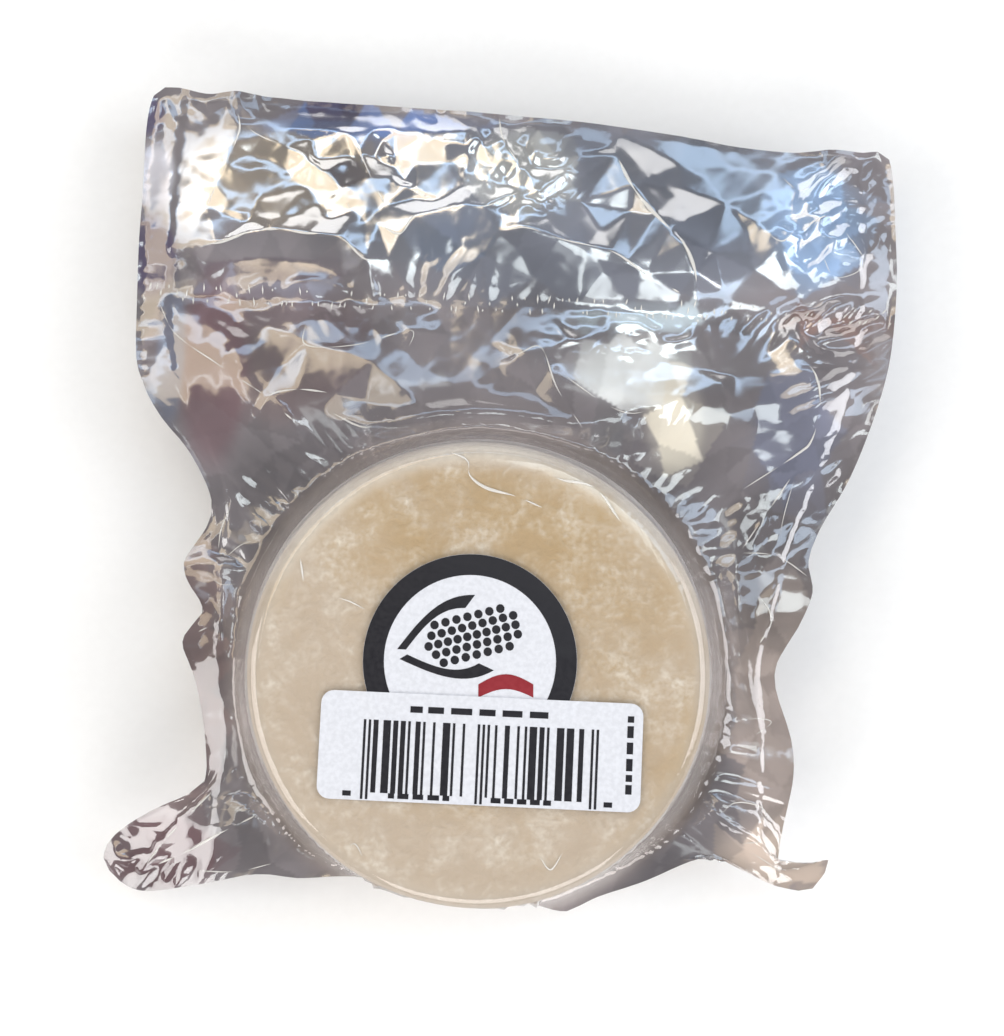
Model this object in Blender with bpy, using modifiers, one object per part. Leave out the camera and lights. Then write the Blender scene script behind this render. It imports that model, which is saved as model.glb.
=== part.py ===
"""A stack of round corn cakes sealed under vacuum in a clear pouch, with two paper labels on its face.

The pack lies on its back, face up. The origin is the centre of the stack's flat underside, +Z is up,
and +Y runs towards the pouch's open top. Units are metres.
"""

import math

import bmesh
import bpy
import numpy as np
from mathutils import Matrix, Vector, geometry

MM = 0.001

# The corn cakes
CAKE_RADIUS = 56.0 * MM
CAKE_THICKNESS = 9.4 * MM
CAKE_COUNT = 5
CAKE_ROUNDING = 6.0 * MM  # how far in from the rim the face starts to turn down
STACK_HEIGHT = CAKE_COUNT * CAKE_THICKNESS

# The pouch: where its two films meet, and how they leave the stack
SEAM_HEIGHT = 0.47 * STACK_HEIGHT
FOOT_GAP = 9.0 * MM  # from the rim to where the films meet, round most of the stack
TIGHT_FOOT_GAP = 1.5 * MM  # the same below the stack, where the pouch is pulled tight
EDGE_THICKNESS = 0.7 * MM
SKIRT_PUFF = 0.5 * MM  # half the gap that folds leave between the films beside the stack
FLAP_PUFF = 1.7 * MM  # half the gap between the two loose films above the seal
FLAP_DROOP = 7.0 * MM  # how far the loose end hangs down
EAR_DROOP = 9.0 * MM  # how far the lower corners hang down
EAR_TURNED_UP = 6.0 * MM  # how far the tip of the right one turns up again
FLAP_WAVE = (1.7 * MM, 15.0 * MM)  # height of the loose end's waves, and their length over 2 pi
SIDE_WAVE = (1.5 * MM, 8.5 * MM)  # the same along the sides
SEAL_LEFT = Vector((-89.0, 98.0)) * MM
SEAL_RIGHT = Vector((108.0, 91.0)) * MM
SEAL_HALF_WIDTH = 4.0 * MM

# The outline of the pouch from above, clockwise from its top left corner, in millimetres
TOP_EDGE = [(-87, 152.3), (-72, 152.7), (-65, 153.6), (-58, 152.6), (-27, 150.6), (5, 147.1),
            (48, 143), (69, 138.9), (84, 136.8), (93, 137.3), (101, 136.4)]
RIGHT_SIDE = [(108.2, 134.6), (108.8, 112), (108.7, 98), (106.5, 82), (102, 67), (95, 49),
              (87, 35.5), (83.8, 27), (84.8, 20.5), (80.5, 10.5), (75.6, 2.5), (75.2, -4.5),
              (79, -17), (79.2, -28), (76.2, -42)]
RIGHT_EAR = [(75.4, -50.2), (80.8, -49.2), (88, -47.3), (83.8, -54.5), (76, -54.5), (65.4, -49.6)]
LOWER_SEAM = [(56, -46.6), (41, -52.6), (29, -56.6), (21.5, -60.2), (15, -58.6)]
LEFT_EAR = [(-36, -51.2), (-45, -51.7), (-56, -50.6), (-70, -53.4), (-85, -56.1), (-92, -54),
            (-96.6, -47.6), (-93, -41.5), (-83, -35.2), (-73.5, -31)]
LEFT_SIDE = [(-69.2, -27.5), (-69.8, -15), (-72.4, -1.5), (-75.3, 8.2), (-70, 15.2), (-73.6, 21.5),
             (-75.6, 28), (-70.5, 36), (-68.9, 44), (-74.5, 56), (-81.5, 64.6), (-87, 74.5),
             (-89.4, 86), (-89.1, 120)]
SEAM_ARC = (-85.0, -118.0)  # degrees, where the lower seam follows the stack
SEAM_ARC_STEPS = 4
SEAM_ARC_RADIUS = CAKE_RADIUS + 2.6 * MM
OUTLINE_STEP = 4.0 * MM

# Folds: the height of the crest, its half width and the points it runs through, in millimetres
FOLDS = [
    (3.2, 5.0, [(36, 138), (47, 128), (54, 117), (57, 99)]),
    (2.8, 5.5, [(-74, 112), (-64, 116), (-42, 117), (-35, 122), (-4, 123), (5, 116), (28, 110), (50, 99)]),
    (2.2, 4.5, [(-65, 153), (-66, 138), (-74, 120)]),
    (2.4, 6.0, [(-56, 141), (-30, 137), (-6, 139), (14, 132)]),
    (2.2, 5.0, [(92, 134), (86, 120), (97, 106)]),
    (2.2, 4.5, [(-78, 92), (-60, 78), (-50, 66)]),
    (2.2, 4.5, [(-48, 90), (-30, 84), (-20, 72)]),
    (2.4, 5.0, [(12, 80), (26, 74)]),
    (2.6, 5.0, [(82, 84), (88, 72), (80, 56)]),
    (2.0, 5.0, [(84, 48), (73, 38), (70, 26)]),
    (1.8, 5.0, [(-86, 66), (-70, 46)]),
    (1.6, 4.0, [(-73, 25), (-64, 24)]),
    (1.4, 4.0, [(-74, 5), (-64, 2)]),
    (1.8, 4.5, [(81, 18), (68, 12)]),
    (1.4, 4.5, [(78, -26), (68, -24)]),
    (2.4, 5.5, [(-89, -49), (-58, -38)]),
    (2.2, 5.0, [(80, -52), (61, -36)]),
]

# How the films come down from the face to the seam. The first row goes from the rim (0) to the
# foot (1), with the rounded edge below 0; the second is the share of the height that is left.
FACE_FALL = [(-1.0, 1.0), (-0.55, 0.985), (-0.18, 0.93), (0.0, 0.86), (0.22, 0.6), (0.5, 0.3), (0.78, 0.09),
             (1.0, 0.0)]
BACK_FALL = [(-0.6, 1.0), (0.0, 0.84), (0.3, 0.5), (0.62, 0.18), (1.0, 0.0)]
RING_POINTS = 84
CLOUD_STEP = 4.8 * MM  # between the points of the skirt and the flap

# The labels
LABEL_THICKNESS = 0.25 * MM
CLEARANCE = 0.3 * MM
ROUND_LABEL_RADIUS = 25.4 * MM
ROUND_LABEL_AT = Vector((-1.9, 2.7)) * MM
CODE_LABEL_SIZE = (76.2 * MM, 25.4 * MM)
CODE_LABEL_CORNER = 3.0 * MM
CODE_LABEL_AT = Vector((0.6, -18.4)) * MM
CODE_LABEL_TURN = math.radians(-2.6)
LABEL_STEP = 3.2 * MM
STEP_UP = 2.4 * MM  # how far the upper label takes to climb onto the lower one


def smooth_step(value, low, high):
    share = np.clip((value - low) / (high - low), 0.0, 1.0)
    return share * share * (3.0 - 2.0 * share)


def clear_scene():
    for thing in list(bpy.data.objects):
        bpy.data.objects.remove(thing)


def make_material(name, colour, roughness, metallic=0.0):
    material = bpy.data.materials.new(name)
    material.use_nodes = True
    shader = material.node_tree.nodes["Principled BSDF"]
    shader.inputs["Base Color"].default_value = (*colour, 1.0)
    shader.inputs["Roughness"].default_value = roughness
    shader.inputs["Metallic"].default_value = metallic
    return material


def closed_curve(points, step):
    """Points about step apart along a smooth closed curve through the given ones."""
    corners = [Vector(point) for point in points]
    count = len(corners)
    line = []
    for i in range(count):
        before, start, end, after = (corners[(i + k) % count] for k in (-1, 0, 1, 2))
        parts = max(1, round((end - start).length / step))
        for part in range(parts):
            t = part / parts
            line.append(0.5 * (2 * start + (end - before) * t
                               + (2 * before - 5 * start + 4 * end - after) * t ** 2
                               + (3 * start - before - 3 * end + after) * t ** 3))
    return line


def pouch_outline():
    """The pouch's edge from above, clockwise, with the stretch that follows the stack as an arc."""
    first, last = SEAM_ARC
    turns = [math.radians(first + (last - first) * i / SEAM_ARC_STEPS) for i in range(SEAM_ARC_STEPS + 1)]
    arc = [SEAM_ARC_RADIUS * Vector((math.cos(turn), math.sin(turn))) for turn in turns]
    before = [Vector(point) * MM for point in TOP_EDGE + RIGHT_SIDE + RIGHT_EAR + LOWER_SEAM]
    after = [Vector(point) * MM for point in LEFT_EAR + LEFT_SIDE]
    return closed_curve(before + arc + after, OUTLINE_STEP)


def distance_to_segment(x, y, start, end):
    along_x, along_y = end[0] - start[0], end[1] - start[1]
    length_squared = along_x ** 2 + along_y ** 2
    share = np.clip(((x - start[0]) * along_x + (y - start[1]) * along_y) / length_squared, 0, 1)
    return np.hypot(x - start[0] - share * along_x, y - start[1] - share * along_y)


def distance_to_path(x, y, path):
    return np.min([distance_to_segment(x, y, start, end) for start, end in zip(path, path[1:])], axis=0)


def foot_gap(x, y):
    """How far outside the rim the two films meet, in the direction of a point."""
    towards_bottom = -y / np.maximum(np.hypot(x, y), 1e-6)
    tight = smooth_step(towards_bottom, 0.55, 0.95)
    return FOOT_GAP + (TIGHT_FOOT_GAP - FOOT_GAP) * tight


def place_on_wall(x, y):
    """0 at the rim, 1 where the films meet, and below 0 on the rounded edge of the face."""
    out = np.hypot(x, y) - CAKE_RADIUS
    return np.where(out > 0, out / foot_gap(x, y), out / CAKE_ROUNDING)


def fold_relief(x, y):
    """The crests of the folds, each fading out at its ends."""
    relief = np.zeros_like(x)
    for height, half_width, path in FOLDS:
        gap = distance_to_path(x, y, [Vector(point) * MM for point in path])
        relief = np.maximum(relief, height * MM * np.exp(-((gap / (half_width * MM)) ** 2)))
    return relief


def seam_height(x, y):
    """The height at which the two films meet: level round the stack, lower at the flap and the ears."""
    flap = smooth_step(y, 70 * MM, 155 * MM)
    ears = smooth_step(np.abs(x), 58 * MM, 96 * MM) * smooth_step(-y, 18 * MM, 46 * MM)
    turned_up = smooth_step(x, 74 * MM, 87 * MM) * smooth_step(-y, 44 * MM, 48 * MM)
    away = smooth_step(place_on_wall(x, y), 1.0, 2.2)
    flap_wave = FLAP_WAVE[0] * np.sin(x / FLAP_WAVE[1] + 0.8) * flap
    side_wave = SIDE_WAVE[0] * np.sin(y / SIDE_WAVE[1]) * away * (1 - flap)
    return (SEAM_HEIGHT - FLAP_DROOP * flap - EAR_DROOP * ears + EAR_TURNED_UP * turned_up
            + flap_wave + side_wave + 0.5 * fold_relief(x, y) * away)


def half_gap(x, y, outline):
    """Half the distance between the two films outside the stack."""
    seal = distance_to_segment(x, y, SEAL_LEFT, SEAL_RIGHT)
    pinched = np.exp(-((seal / SEAL_HALF_WIDTH) ** 2))
    above = smooth_step(y, 98 * MM, 112 * MM)
    puff = (SKIRT_PUFF + (FLAP_PUFF - SKIRT_PUFF) * above) * (1 - 0.8 * pinched)
    inside = 1 - np.exp(-distance_to_path(x, y, outline + outline[:1]) / (6 * MM))
    return EDGE_THICKNESS / 2 + puff * inside


def share_left(x, y, fall):
    places, shares = zip(*fall)
    return np.interp(place_on_wall(x, y), places, shares)


def front_height(x, y, outline):
    meeting = seam_height(x, y) + half_gap(x, y, outline)
    folds = 0.5 * fold_relief(x, y) * smooth_step(distance_to_path(x, y, outline + outline[:1]), 0, 8 * MM)
    outside = smooth_step(place_on_wall(x, y), 0.6, 1.2)
    return meeting + folds * outside + (STACK_HEIGHT - meeting) * share_left(x, y, FACE_FALL)


def back_height(x, y, outline):
    meeting = seam_height(x, y) - half_gap(x, y, outline)
    return meeting * (1 - share_left(x, y, BACK_FALL))


def inside_outline(point, outline):
    crossings = 0
    for start, end in zip(outline, outline[1:] + outline[:1]):
        if (start.y > point.y) != (end.y > point.y):
            crossing = start.x + (point.y - start.y) * (end.x - start.x) / (end.y - start.y)
            crossings += crossing > point.x
    return crossings % 2 == 1


def cloud(outline, step, keep):
    """Points in staggered rows inside an outline, no nearer to it than half a step."""
    xs, ys = [p.x for p in outline], [p.y for p in outline]
    points = []
    row_height = step * math.sqrt(3) / 2
    for row in range(1, math.ceil((max(ys) - min(ys)) / row_height)):
        y = min(ys) + row * row_height
        for column in range(math.ceil((max(xs) - min(xs)) / step) + 1):
            point = Vector((min(xs) + (column + 0.5 * (row % 2)) * step, y))
            if keep(point) and inside_outline(point, outline):
                points.append(point)
    x, y = np.array([p.x for p in points]), np.array([p.y for p in points])
    gaps = distance_to_path(x, y, outline + outline[:1])
    return [point for point, gap in zip(points, gaps) if gap > 0.55 * step]


def wall_rings(fall):
    """Rings of points round the stack, at the places where its fall changes slope."""
    rings = []
    for place, _ in fall:
        ring = []
        for i in range(RING_POINTS):
            turn = 2 * math.pi * i / RING_POINTS
            direction = Vector((math.cos(turn), math.sin(turn)))
            gap = foot_gap(direction.x, direction.y) if place > 0 else CAKE_ROUNDING
            ring.append(direction * (CAKE_RADIUS + place * gap))
        rings.append(ring)
    return rings


def closed_loop(first, count):
    return [(first + i, first + (i + 1) % count) for i in range(count)]


def add_skin(body, outline, rings, loose, height, rim, upward):
    """One film: a triangulated sheet inside the outline, lifted to its height, joined to the rim."""
    points = list(outline)
    edges = closed_loop(0, len(outline))
    for ring in rings:
        edges += closed_loop(len(points), len(ring))
        points += ring
    flat, _, faces, _, _, _ = geometry.delaunay_2d_cdt(points + loose, edges, [], 1, 1e-7)
    x, y = np.array([p.x for p in flat]), np.array([p.y for p in flat])
    heights = height(x, y)
    corners = rim + [body.verts.new((x[i], y[i], heights[i])) for i in range(len(outline), len(flat))]
    for face in faces:
        around = [corners[i] for i in face]
        turn = (around[1].co - around[0].co).cross(around[2].co - around[0].co).z
        if (turn > 0) != upward:
            around.reverse()
        body.faces.new(around)


def add_object(name, body, material, collection):
    """Turn a bmesh into a named object, smooth but for its sharp edges."""
    mesh = bpy.data.meshes.new(name)
    body.to_mesh(mesh)
    body.free()
    mesh.shade_smooth()
    mesh.set_sharp_from_angle(angle=math.radians(50))
    mesh.materials.append(material)
    thing = bpy.data.objects.new(name, mesh)
    collection.objects.link(thing)
    return thing


def make_pouch(collection):
    """The filled pouch as one closed body: the stack, and the films that meet round it."""
    outline = pouch_outline()

    def off_wall(point):
        return float(place_on_wall(np.array([point.x]), np.array([point.y]))[0]) > 1.25

    skirt = cloud(outline, CLOUD_STEP, off_wall)
    x, y = np.array([p.x for p in outline]), np.array([p.y for p in outline])
    body = bmesh.new()
    rims = []
    for fall, height, upward in ((FACE_FALL, front_height, True), (BACK_FALL, back_height, False)):
        rim = [body.verts.new((p.x, p.y, z)) for p, z in zip(outline, height(x, y, outline))]
        add_skin(body, outline, wall_rings(fall), skirt, lambda x, y: height(x, y, outline), rim, upward)
        rims.append(rim)
    upper, lower = rims
    for i, j in closed_loop(0, len(outline)):
        body.faces.new((upper[i], upper[j], lower[j], lower[i]))
    bmesh.ops.recalc_face_normals(body, faces=body.faces)
    material = make_material("clear_film_over_corn_cakes", (0.62, 0.57, 0.50), 0.2)
    return add_object("sealed_pouch", body, material, collection)


def make_round_label(collection):
    body = bmesh.new()
    bmesh.ops.create_cone(body, cap_ends=True, segments=72, radius1=ROUND_LABEL_RADIUS,
                          radius2=ROUND_LABEL_RADIUS, depth=LABEL_THICKNESS)
    material = make_material("round_label_paper", (0.80, 0.80, 0.84), 0.45)
    label = add_object("round_label", body, material, collection)
    label.location = (*ROUND_LABEL_AT, STACK_HEIGHT + CLEARANCE + LABEL_THICKNESS / 2)
    return label


def rounded_rectangle(width, height, corner, steps=5):
    points = []
    for quarter, (sx, sy) in enumerate(((1, 1), (-1, 1), (-1, -1), (1, -1))):
        centre = Vector((sx * (width / 2 - corner), sy * (height / 2 - corner)))
        for i in range(steps + 1):
            turn = math.pi / 2 * (quarter + i / steps)
            points.append(centre + corner * Vector((math.cos(turn), math.sin(turn))))
    return points


def split_long_sides(outline, step):
    points = []
    for start, end in zip(outline, outline[1:] + outline[:1]):
        parts = max(1, round((end - start).length / step))
        points += [start.lerp(end, i / parts) for i in range(parts)]
    return points


def code_label_height(x, y):
    """The upper label lies on the face, and climbs onto the round one where they cross."""
    gap = np.hypot(x - ROUND_LABEL_AT.x, y - ROUND_LABEL_AT.y) - ROUND_LABEL_RADIUS
    climb = 1 - smooth_step(gap, CLEARANCE, CLEARANCE + STEP_UP)
    return STACK_HEIGHT + CLEARANCE + (LABEL_THICKNESS + CLEARANCE) * climb


def make_code_label(collection):
    flat = split_long_sides(rounded_rectangle(*CODE_LABEL_SIZE, CODE_LABEL_CORNER), LABEL_STEP)
    turn = Matrix.Rotation(CODE_LABEL_TURN, 2)
    outline = [CODE_LABEL_AT + turn @ point for point in flat]
    heights = code_label_height(np.array([p.x for p in outline]), np.array([p.y for p in outline]))
    body = bmesh.new()
    rim = [body.verts.new((p.x, p.y, z)) for p, z in zip(outline, heights)]
    inner = cloud(outline, LABEL_STEP, lambda point: True)
    add_skin(body, outline, [], inner, code_label_height, rim, upward=True)
    material = make_material("code_label_paper", (0.82, 0.83, 0.87), 0.45)
    label = add_object("code_label", body, material, collection)
    thickness = label.modifiers.new("thickness", "SOLIDIFY")
    thickness.thickness = LABEL_THICKNESS
    thickness.offset = 1.0
    return label


def main():
    clear_scene()
    collection = bpy.data.collections.new("corn_cake_pack")
    bpy.context.scene.collection.children.link(collection)
    make_pouch(collection)
    make_round_label(collection)
    make_code_label(collection)


if __name__ == "__main__":
    main()
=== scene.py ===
"""The looks of a clear vacuum pouch that holds a stack of corn cakes, with two paper labels on its face.

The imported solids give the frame: the pouch's outline and heights, the stack and the labels' places.
Each film starts as a flat sheet that is stretched evenly inside that outline. Its lengths are those of
the solid's surface there with some slack, not those of the flat sheet, and it is drawn down round the
stack. The main creases follow the lines in CREASES. The finer ones come from the slack and from seeded
crumpling. Lengths are in millimetres, and become metres when a mesh is made. +Z is up out of the
labelled face and +Y runs to the pouch's open top.
"""

import math

import bmesh
import bpy
import numpy as np
from mathutils import Matrix, Vector, geometry
from mathutils.bvhtree import BVHTree


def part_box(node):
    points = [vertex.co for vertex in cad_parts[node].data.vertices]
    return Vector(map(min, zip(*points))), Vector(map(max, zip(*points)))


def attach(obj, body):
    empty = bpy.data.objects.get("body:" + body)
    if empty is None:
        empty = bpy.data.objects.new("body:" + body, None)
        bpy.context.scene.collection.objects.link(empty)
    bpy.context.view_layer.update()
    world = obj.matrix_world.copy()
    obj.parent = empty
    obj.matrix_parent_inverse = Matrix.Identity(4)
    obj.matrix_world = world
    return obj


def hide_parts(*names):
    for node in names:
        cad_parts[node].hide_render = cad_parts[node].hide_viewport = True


bl_info = {
    "name": "Vacuum Pack of Corn Cakes",
    "version": (1, 0, 0),
    "blender": (4, 5, 0),
    "location": "View3D > Sidebar > Corn Cakes",
    "description": "Builds a clear vacuum pouch with a stack of corn cakes and its labels",
    "category": "Object",
}

MM = 0.001
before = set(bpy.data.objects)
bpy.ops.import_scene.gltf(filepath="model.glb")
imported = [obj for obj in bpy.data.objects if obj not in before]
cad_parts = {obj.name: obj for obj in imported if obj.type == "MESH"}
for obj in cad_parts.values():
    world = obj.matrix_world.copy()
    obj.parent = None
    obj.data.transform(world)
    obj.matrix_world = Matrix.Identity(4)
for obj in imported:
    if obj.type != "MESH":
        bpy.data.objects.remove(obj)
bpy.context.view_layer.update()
SEED = 11

# The stack, from the frame
STACK_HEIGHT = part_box("sealed_pouch")[1].z / MM
CAKE_COUNT = 5
CAKE_THICKNESS = STACK_HEIGHT / CAKE_COUNT
CAKE_RADIUS = 56.0
SEAM_HEIGHT = 0.47 * STACK_HEIGHT  # where the two films meet beside the stack

# How the films leave the stack
FACE_ROUNDING = 5.0  # how far in from the rim the film starts to turn down
FOOT_GAP = 8.0  # from the rim to where the films meet
TIGHT_FOOT_GAP = 1.2  # the same below the stack, where the pouch is pulled tight
EDGE_SHARE = 0.86  # share of the height that is left straight above the rim

# The heat seal across the pouch
SEAL_LEFT = (-89.0, 98.5)
SEAL_RIGHT = (108.0, 91.5)
SEAL_WIDTH = 4.4

# The bright ridges, white as painted highlights: the size and the flatness of those along creases and of the
# seal's crimps
GLINT = (1.4, 0.2)
CRIMP = (0.5, 0.4)
RIDGE_SIDES = 6
RIDGE_COVER = 0.6  # share of what lies behind a ridge that it hides

# How much longer the film is than the surface it follows: everywhere, and more in these oval patches,
# each with the middle and the reach
EVEN_SLACK = 0.003
SLACK = [
    (0.016, (14, 128), (26, 22)),  # the crumpled middle of the loose end
    (0.006, (-48, 128), (34, 26)),
    (0.012, (88, 112), (20, 24)),
    (0.020, (92, 88), (26, 9)),  # the right end of the heat seal
    (0.012, (-32, 86), (30, 12)),
    (0.010, (42, 66), (22, 20)),
    (0.012, (80, 40), (18, 24)),
    (0.016, (-70, 12), (14, 60)),  # the left side
    (0.016, (74, -6), (14, 60)),  # the right side
    (0.020, (-80, -45), (26, 16)),  # the left ear
    (0.024, (72, -45), (20, 16)),  # the right ear
]

# The films are drawn down in steps, each finer than the one before: the spacing of their points,
# the number of rounds, the pull of the vacuum, the pull to the frame's own surface and the unevenness
DRAWING_DOWN = [
    (6.0, 240, 0.10, 0.03, 0.30),
    (3.2, 220, 0.05, 0.01, 0.05),
    (1.9, 150, 0.02, 0.004, 0.0),
]

# Creases of the film outside the stack: the height of each, the width of the painted highlight along its edge
# (none where it is soft) and the line it follows. They are the sides of flat facets.
CREASES = [
    # the loose end, left half
    (0.8, 0.0, [(-78, 150), (-77, 127), (-78, 117), (-72, 102)]),
    (1.6, 0.5, [(-66, 151), (-64, 145), (-65, 139), (-72, 121)]),
    (1.2, 0.4, [(-64, 145), (-58, 141), (-46, 136), (-37, 127), (-34, 120)]),
    (1.5, 0.0, [(-64, 146), (-52, 143), (-36, 143), (-22, 143), (-8, 142), (4, 143)]),
    (-0.7, 0.0, [(-45, 141), (-44, 135), (-34, 136), (-23, 136)]),
    (1.0, 0.4, [(-35, 144), (-32, 137), (-29, 130), (-25, 122)]),
    (-0.8, 0.0, [(-26, 141), (-23, 133), (-17, 124)]),
    (1.0, 0.0, [(-24, 130), (-11, 123)]),
    (-0.7, 0.0, [(-56, 131), (-61, 117)]),
    (-0.6, 0.0, [(-55, 135), (-46, 127), (-40, 118)]),
    (3.0, 0.6, [(-76, 112), (-69, 111), (-61, 114), (-55, 115), (-46, 114), (-37, 113), (-30, 107),
                (-24, 107)]),
    (-0.9, 0.0, [(-72, 106), (-58, 108), (-44, 107), (-36, 103)]),
    (2.6, 0.6, [(-27, 117), (-21, 114), (-17, 119), (-8, 121), (1, 121), (10, 125)]),
    (0.9, 0.0, [(-15, 106), (-8, 103), (1, 108), (10, 110)]),
    (1.0, 0.3, [(-31, 117), (-25, 122)]),
    # the loose end, right half
    (1.0, 0.4, [(5, 146), (6, 140), (10, 133)]),
    (4.0, 0.8, [(36, 136), (40, 127), (46, 119), (53, 111), (56, 103), (56, 97)]),
    (2.6, 0.5, [(5, 114), (12, 115), (21, 112), (34, 109), (43, 103), (52, 98)]),
    (-1.0, 0.0, [(10, 144), (14, 132), (17, 123)]),
    (1.2, 0.0, [(15, 143), (24, 141), (34, 138)]),
    (-1.0, 0.0, [(21, 132), (27, 123), (32, 115)]),
    (1.1, 0.0, [(5, 121), (15, 125), (21, 130)]),
    (0.9, 0.0, [(14, 137), (20, 134), (26, 136)]),
    (-0.7, 0.0, [(46, 138), (60, 130), (70, 116), (72, 104)]),
    (1.2, 0.4, [(85, 113), (91, 118), (100, 106), (93, 102), (89, 108)]),
    (1.0, 0.3, [(73, 117), (79, 112), (84, 117)]),
    (1.2, 0.0, [(95, 135), (96, 115)]),
    (0.9, 0.3, [(79, 131), (84, 126), (88, 128)]),
    # along the seal
    (-0.6, 0.0, [(-76, 98), (-50, 96), (-20, 95), (10, 94), (40, 93)]),
    # below the seal
    (1.2, 0.3, [(-84, 96), (-79, 87), (-68, 79), (-56, 71)]),
    (0.9, 0.4, [(-37, 71), (-47, 72), (-54, 70), (-48, 64)]),
    (0.8, 0.4, [(-40, 67), (-29, 62), (-22, 67)]),
    (1.3, 0.0, [(-63, 92), (-55, 89), (-45, 85), (-35, 82), (-28, 79), (-15, 68)]),
    (0.9, 0.4, [(-45, 91), (-45, 84), (-32, 84), (-18, 88), (-19, 82)]),
    (0.7, 0.0, [(-41, 93), (-35, 86), (-28, 89)]),
    (1.3, 0.4, [(5, 78), (11, 82), (16, 83), (20, 72), (28, 59)]),
    (0.9, 0.0, [(-1, 74), (9, 81)]),
    (-1.0, 0.0, [(37, 88), (43, 82), (55, 78), (66, 76), (74, 76)]),
    (1.0, 0.3, [(20, 79), (24, 74), (37, 66), (47, 68), (52, 70)]),
    (-0.9, 0.0, [(42, 65), (46, 58), (47, 49)]),
    (1.6, 0.6, [(82, 81), (86, 76), (87, 68), (85, 59), (81, 55), (67, 46)]),
    (0.9, 0.0, [(62, 74), (64, 65), (63, 50)]),
    (0.9, 0.0, [(72, 85), (83, 90), (96, 92), (108, 90)]),
    # the sides and the ears
    (1.0, 0.4, [(81, 51), (74, 41), (67, 31)]),
    (0.9, 0.3, [(81, 50), (78, 40), (76, 30)]),
    (0.8, 0.3, [(64, 30), (76, 29), (86, 22)]),
    (-0.7, 0.0, [(71, 25), (80, 26)]),
    (1.1, 0.4, [(71, 19), (74, 13), (71, 7)]),
    (0.8, 0.0, [(70, 11), (71, 5), (71, -2)]),
    (0.8, 0.4, [(65, -13), (70, -12), (74, -13), (70, -16)]),
    (0.7, 0.0, [(74, -16), (72, -23), (67, -24)]),
    (0.9, 0.4, [(59, -38), (64, -33), (72, -35), (71, -42), (66, -43)]),
    (0.8, 0.3, [(66, -44), (74, -49), (79, -53)]),
    (0.7, 0.0, [(53, -49), (64, -54), (71, -54)]),
    (0.9, 0.4, [(-62, 46), (-66, 37), (-67, 31)]),
    (0.8, 0.3, [(-66, 28), (-61, 32), (-55, 34)]),
    (0.6, 0.3, [(-70, 25), (-66, 22), (-62, 22)]),
    (0.6, 0.3, [(-75, 8), (-69, 11)]),
    (0.8, 0.0, [(-68, -31), (-67, -41)]),
    (1.5, 0.4, [(-86, -51), (-79, -42), (-65, -28)]),
    (1.0, 0.5, [(-82, -49), (-73, -45), (-66, -41), (-56, -36)]),
    (0.8, 0.3, [(-72, -50), (-61, -50), (-52, -48)]),
]
CREASE_STEP = 7.0  # between the corners along a crease, about
CREASE_ENDS = 0.4  # share of its height that a crease has at its ends
LOOSE_CORNERS = 9.0  # about this far apart, between the creases
STAGGER = 0.87  # the rows of a staggered grid lie this share of a step apart
LOOSE_HEIGHT = 0.34
PAINTED_FACET_SHADES = (0.80, 1.22)  # painted shade: least and most light that the painted colour of one facet passes on
EVEN_FACETS = 0.18
FACETED = [
    # where the flat facets between the creases stand out more
    (0.4, (-45, 126), (40, 24)),
    (1.0, (12, 128), (26, 22)),
    (0.9, (90, 112), (20, 24)),
    (0.8, (60, 86), (46, 14)),
    (0.3, (-20, 88), (30, 8)),
    (0.5, (76, 30), (16, 26)),
    (0.6, (72, -42), (18, 16)),
    (0.2, (-72, -40), (20, 14)),
]
CREASE_SHARE = 0.5  # share of a crease's height that the film keeps once it is drawn down
CALM_ROUNDS = 50

# How calm the film is between its creases, in oval patches with the middle and the reach
CALM = [
    (0.95, (-45, 125), (55, 32)),
    (0.9, (40, 120), (60, 34)),
    (0.9, (0, 78), (85, 24)),
    (0.8, (-74, 60), (18, 44)),
    (0.75, (78, 20), (18, 60)),
    (0.75, (-74, -10), (16, 50)),
    (0.5, (70, -45), (22, 16)),
    (0.4, (-70, -42), (26, 14)),
]

# Fine crumpling: everywhere, and more in these oval patches, each with the middle and the reach
EVEN_CRUMPLE = 0.05
CRUMPLED = [
    (0.8, (14, 130), (20, 16)),
    (0.15, (-45, 126), (38, 24)),
    (0.45, (90, 112), (20, 20)),
    (0.6, (95, 88), (26, 8)),
    (0.5, (40, 86), (34, 9)),
    (0.4, (-50, 98), (30, 6)),
    (0.15, (-25, 90), (26, 8)),
    (0.2, (45, 64), (16, 14)),
    (0.35, (78, 30), (14, 24)),
    (0.2, (-70, 20), (10, 26)),
    (0.35, (72, -42), (18, 14)),
    (0.1, (-70, -42), (22, 12)),
]
CRUMPLE_SIZES = [(11.0, 0.8), (5.0, 0.34)]  # width of a facet and height of its crests

# Creases on the face, where the taut film lies on the top cake: the width of the painted highlight along its
# edge and its line
FACE_CREASES = [
    (0.6, [(-11, 54), (-3, 51), (-2, 47), (2, 44), (9, 42), (16, 39)]),
    (0.7, [(16, 48), (20, 46), (28, 44), (34, 36)]),
    (0.4, [(-43, 30), (-42, 24), (-41, 17)]),
    (0.3, [(-35, 18), (-31, 17), (-27, 15)]),
    (0.3, [(-32, -42), (-29, -40), (-27, -43)]),
    (0.3, [(14, -42), (17, -46), (20, -42)]),
]

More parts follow.
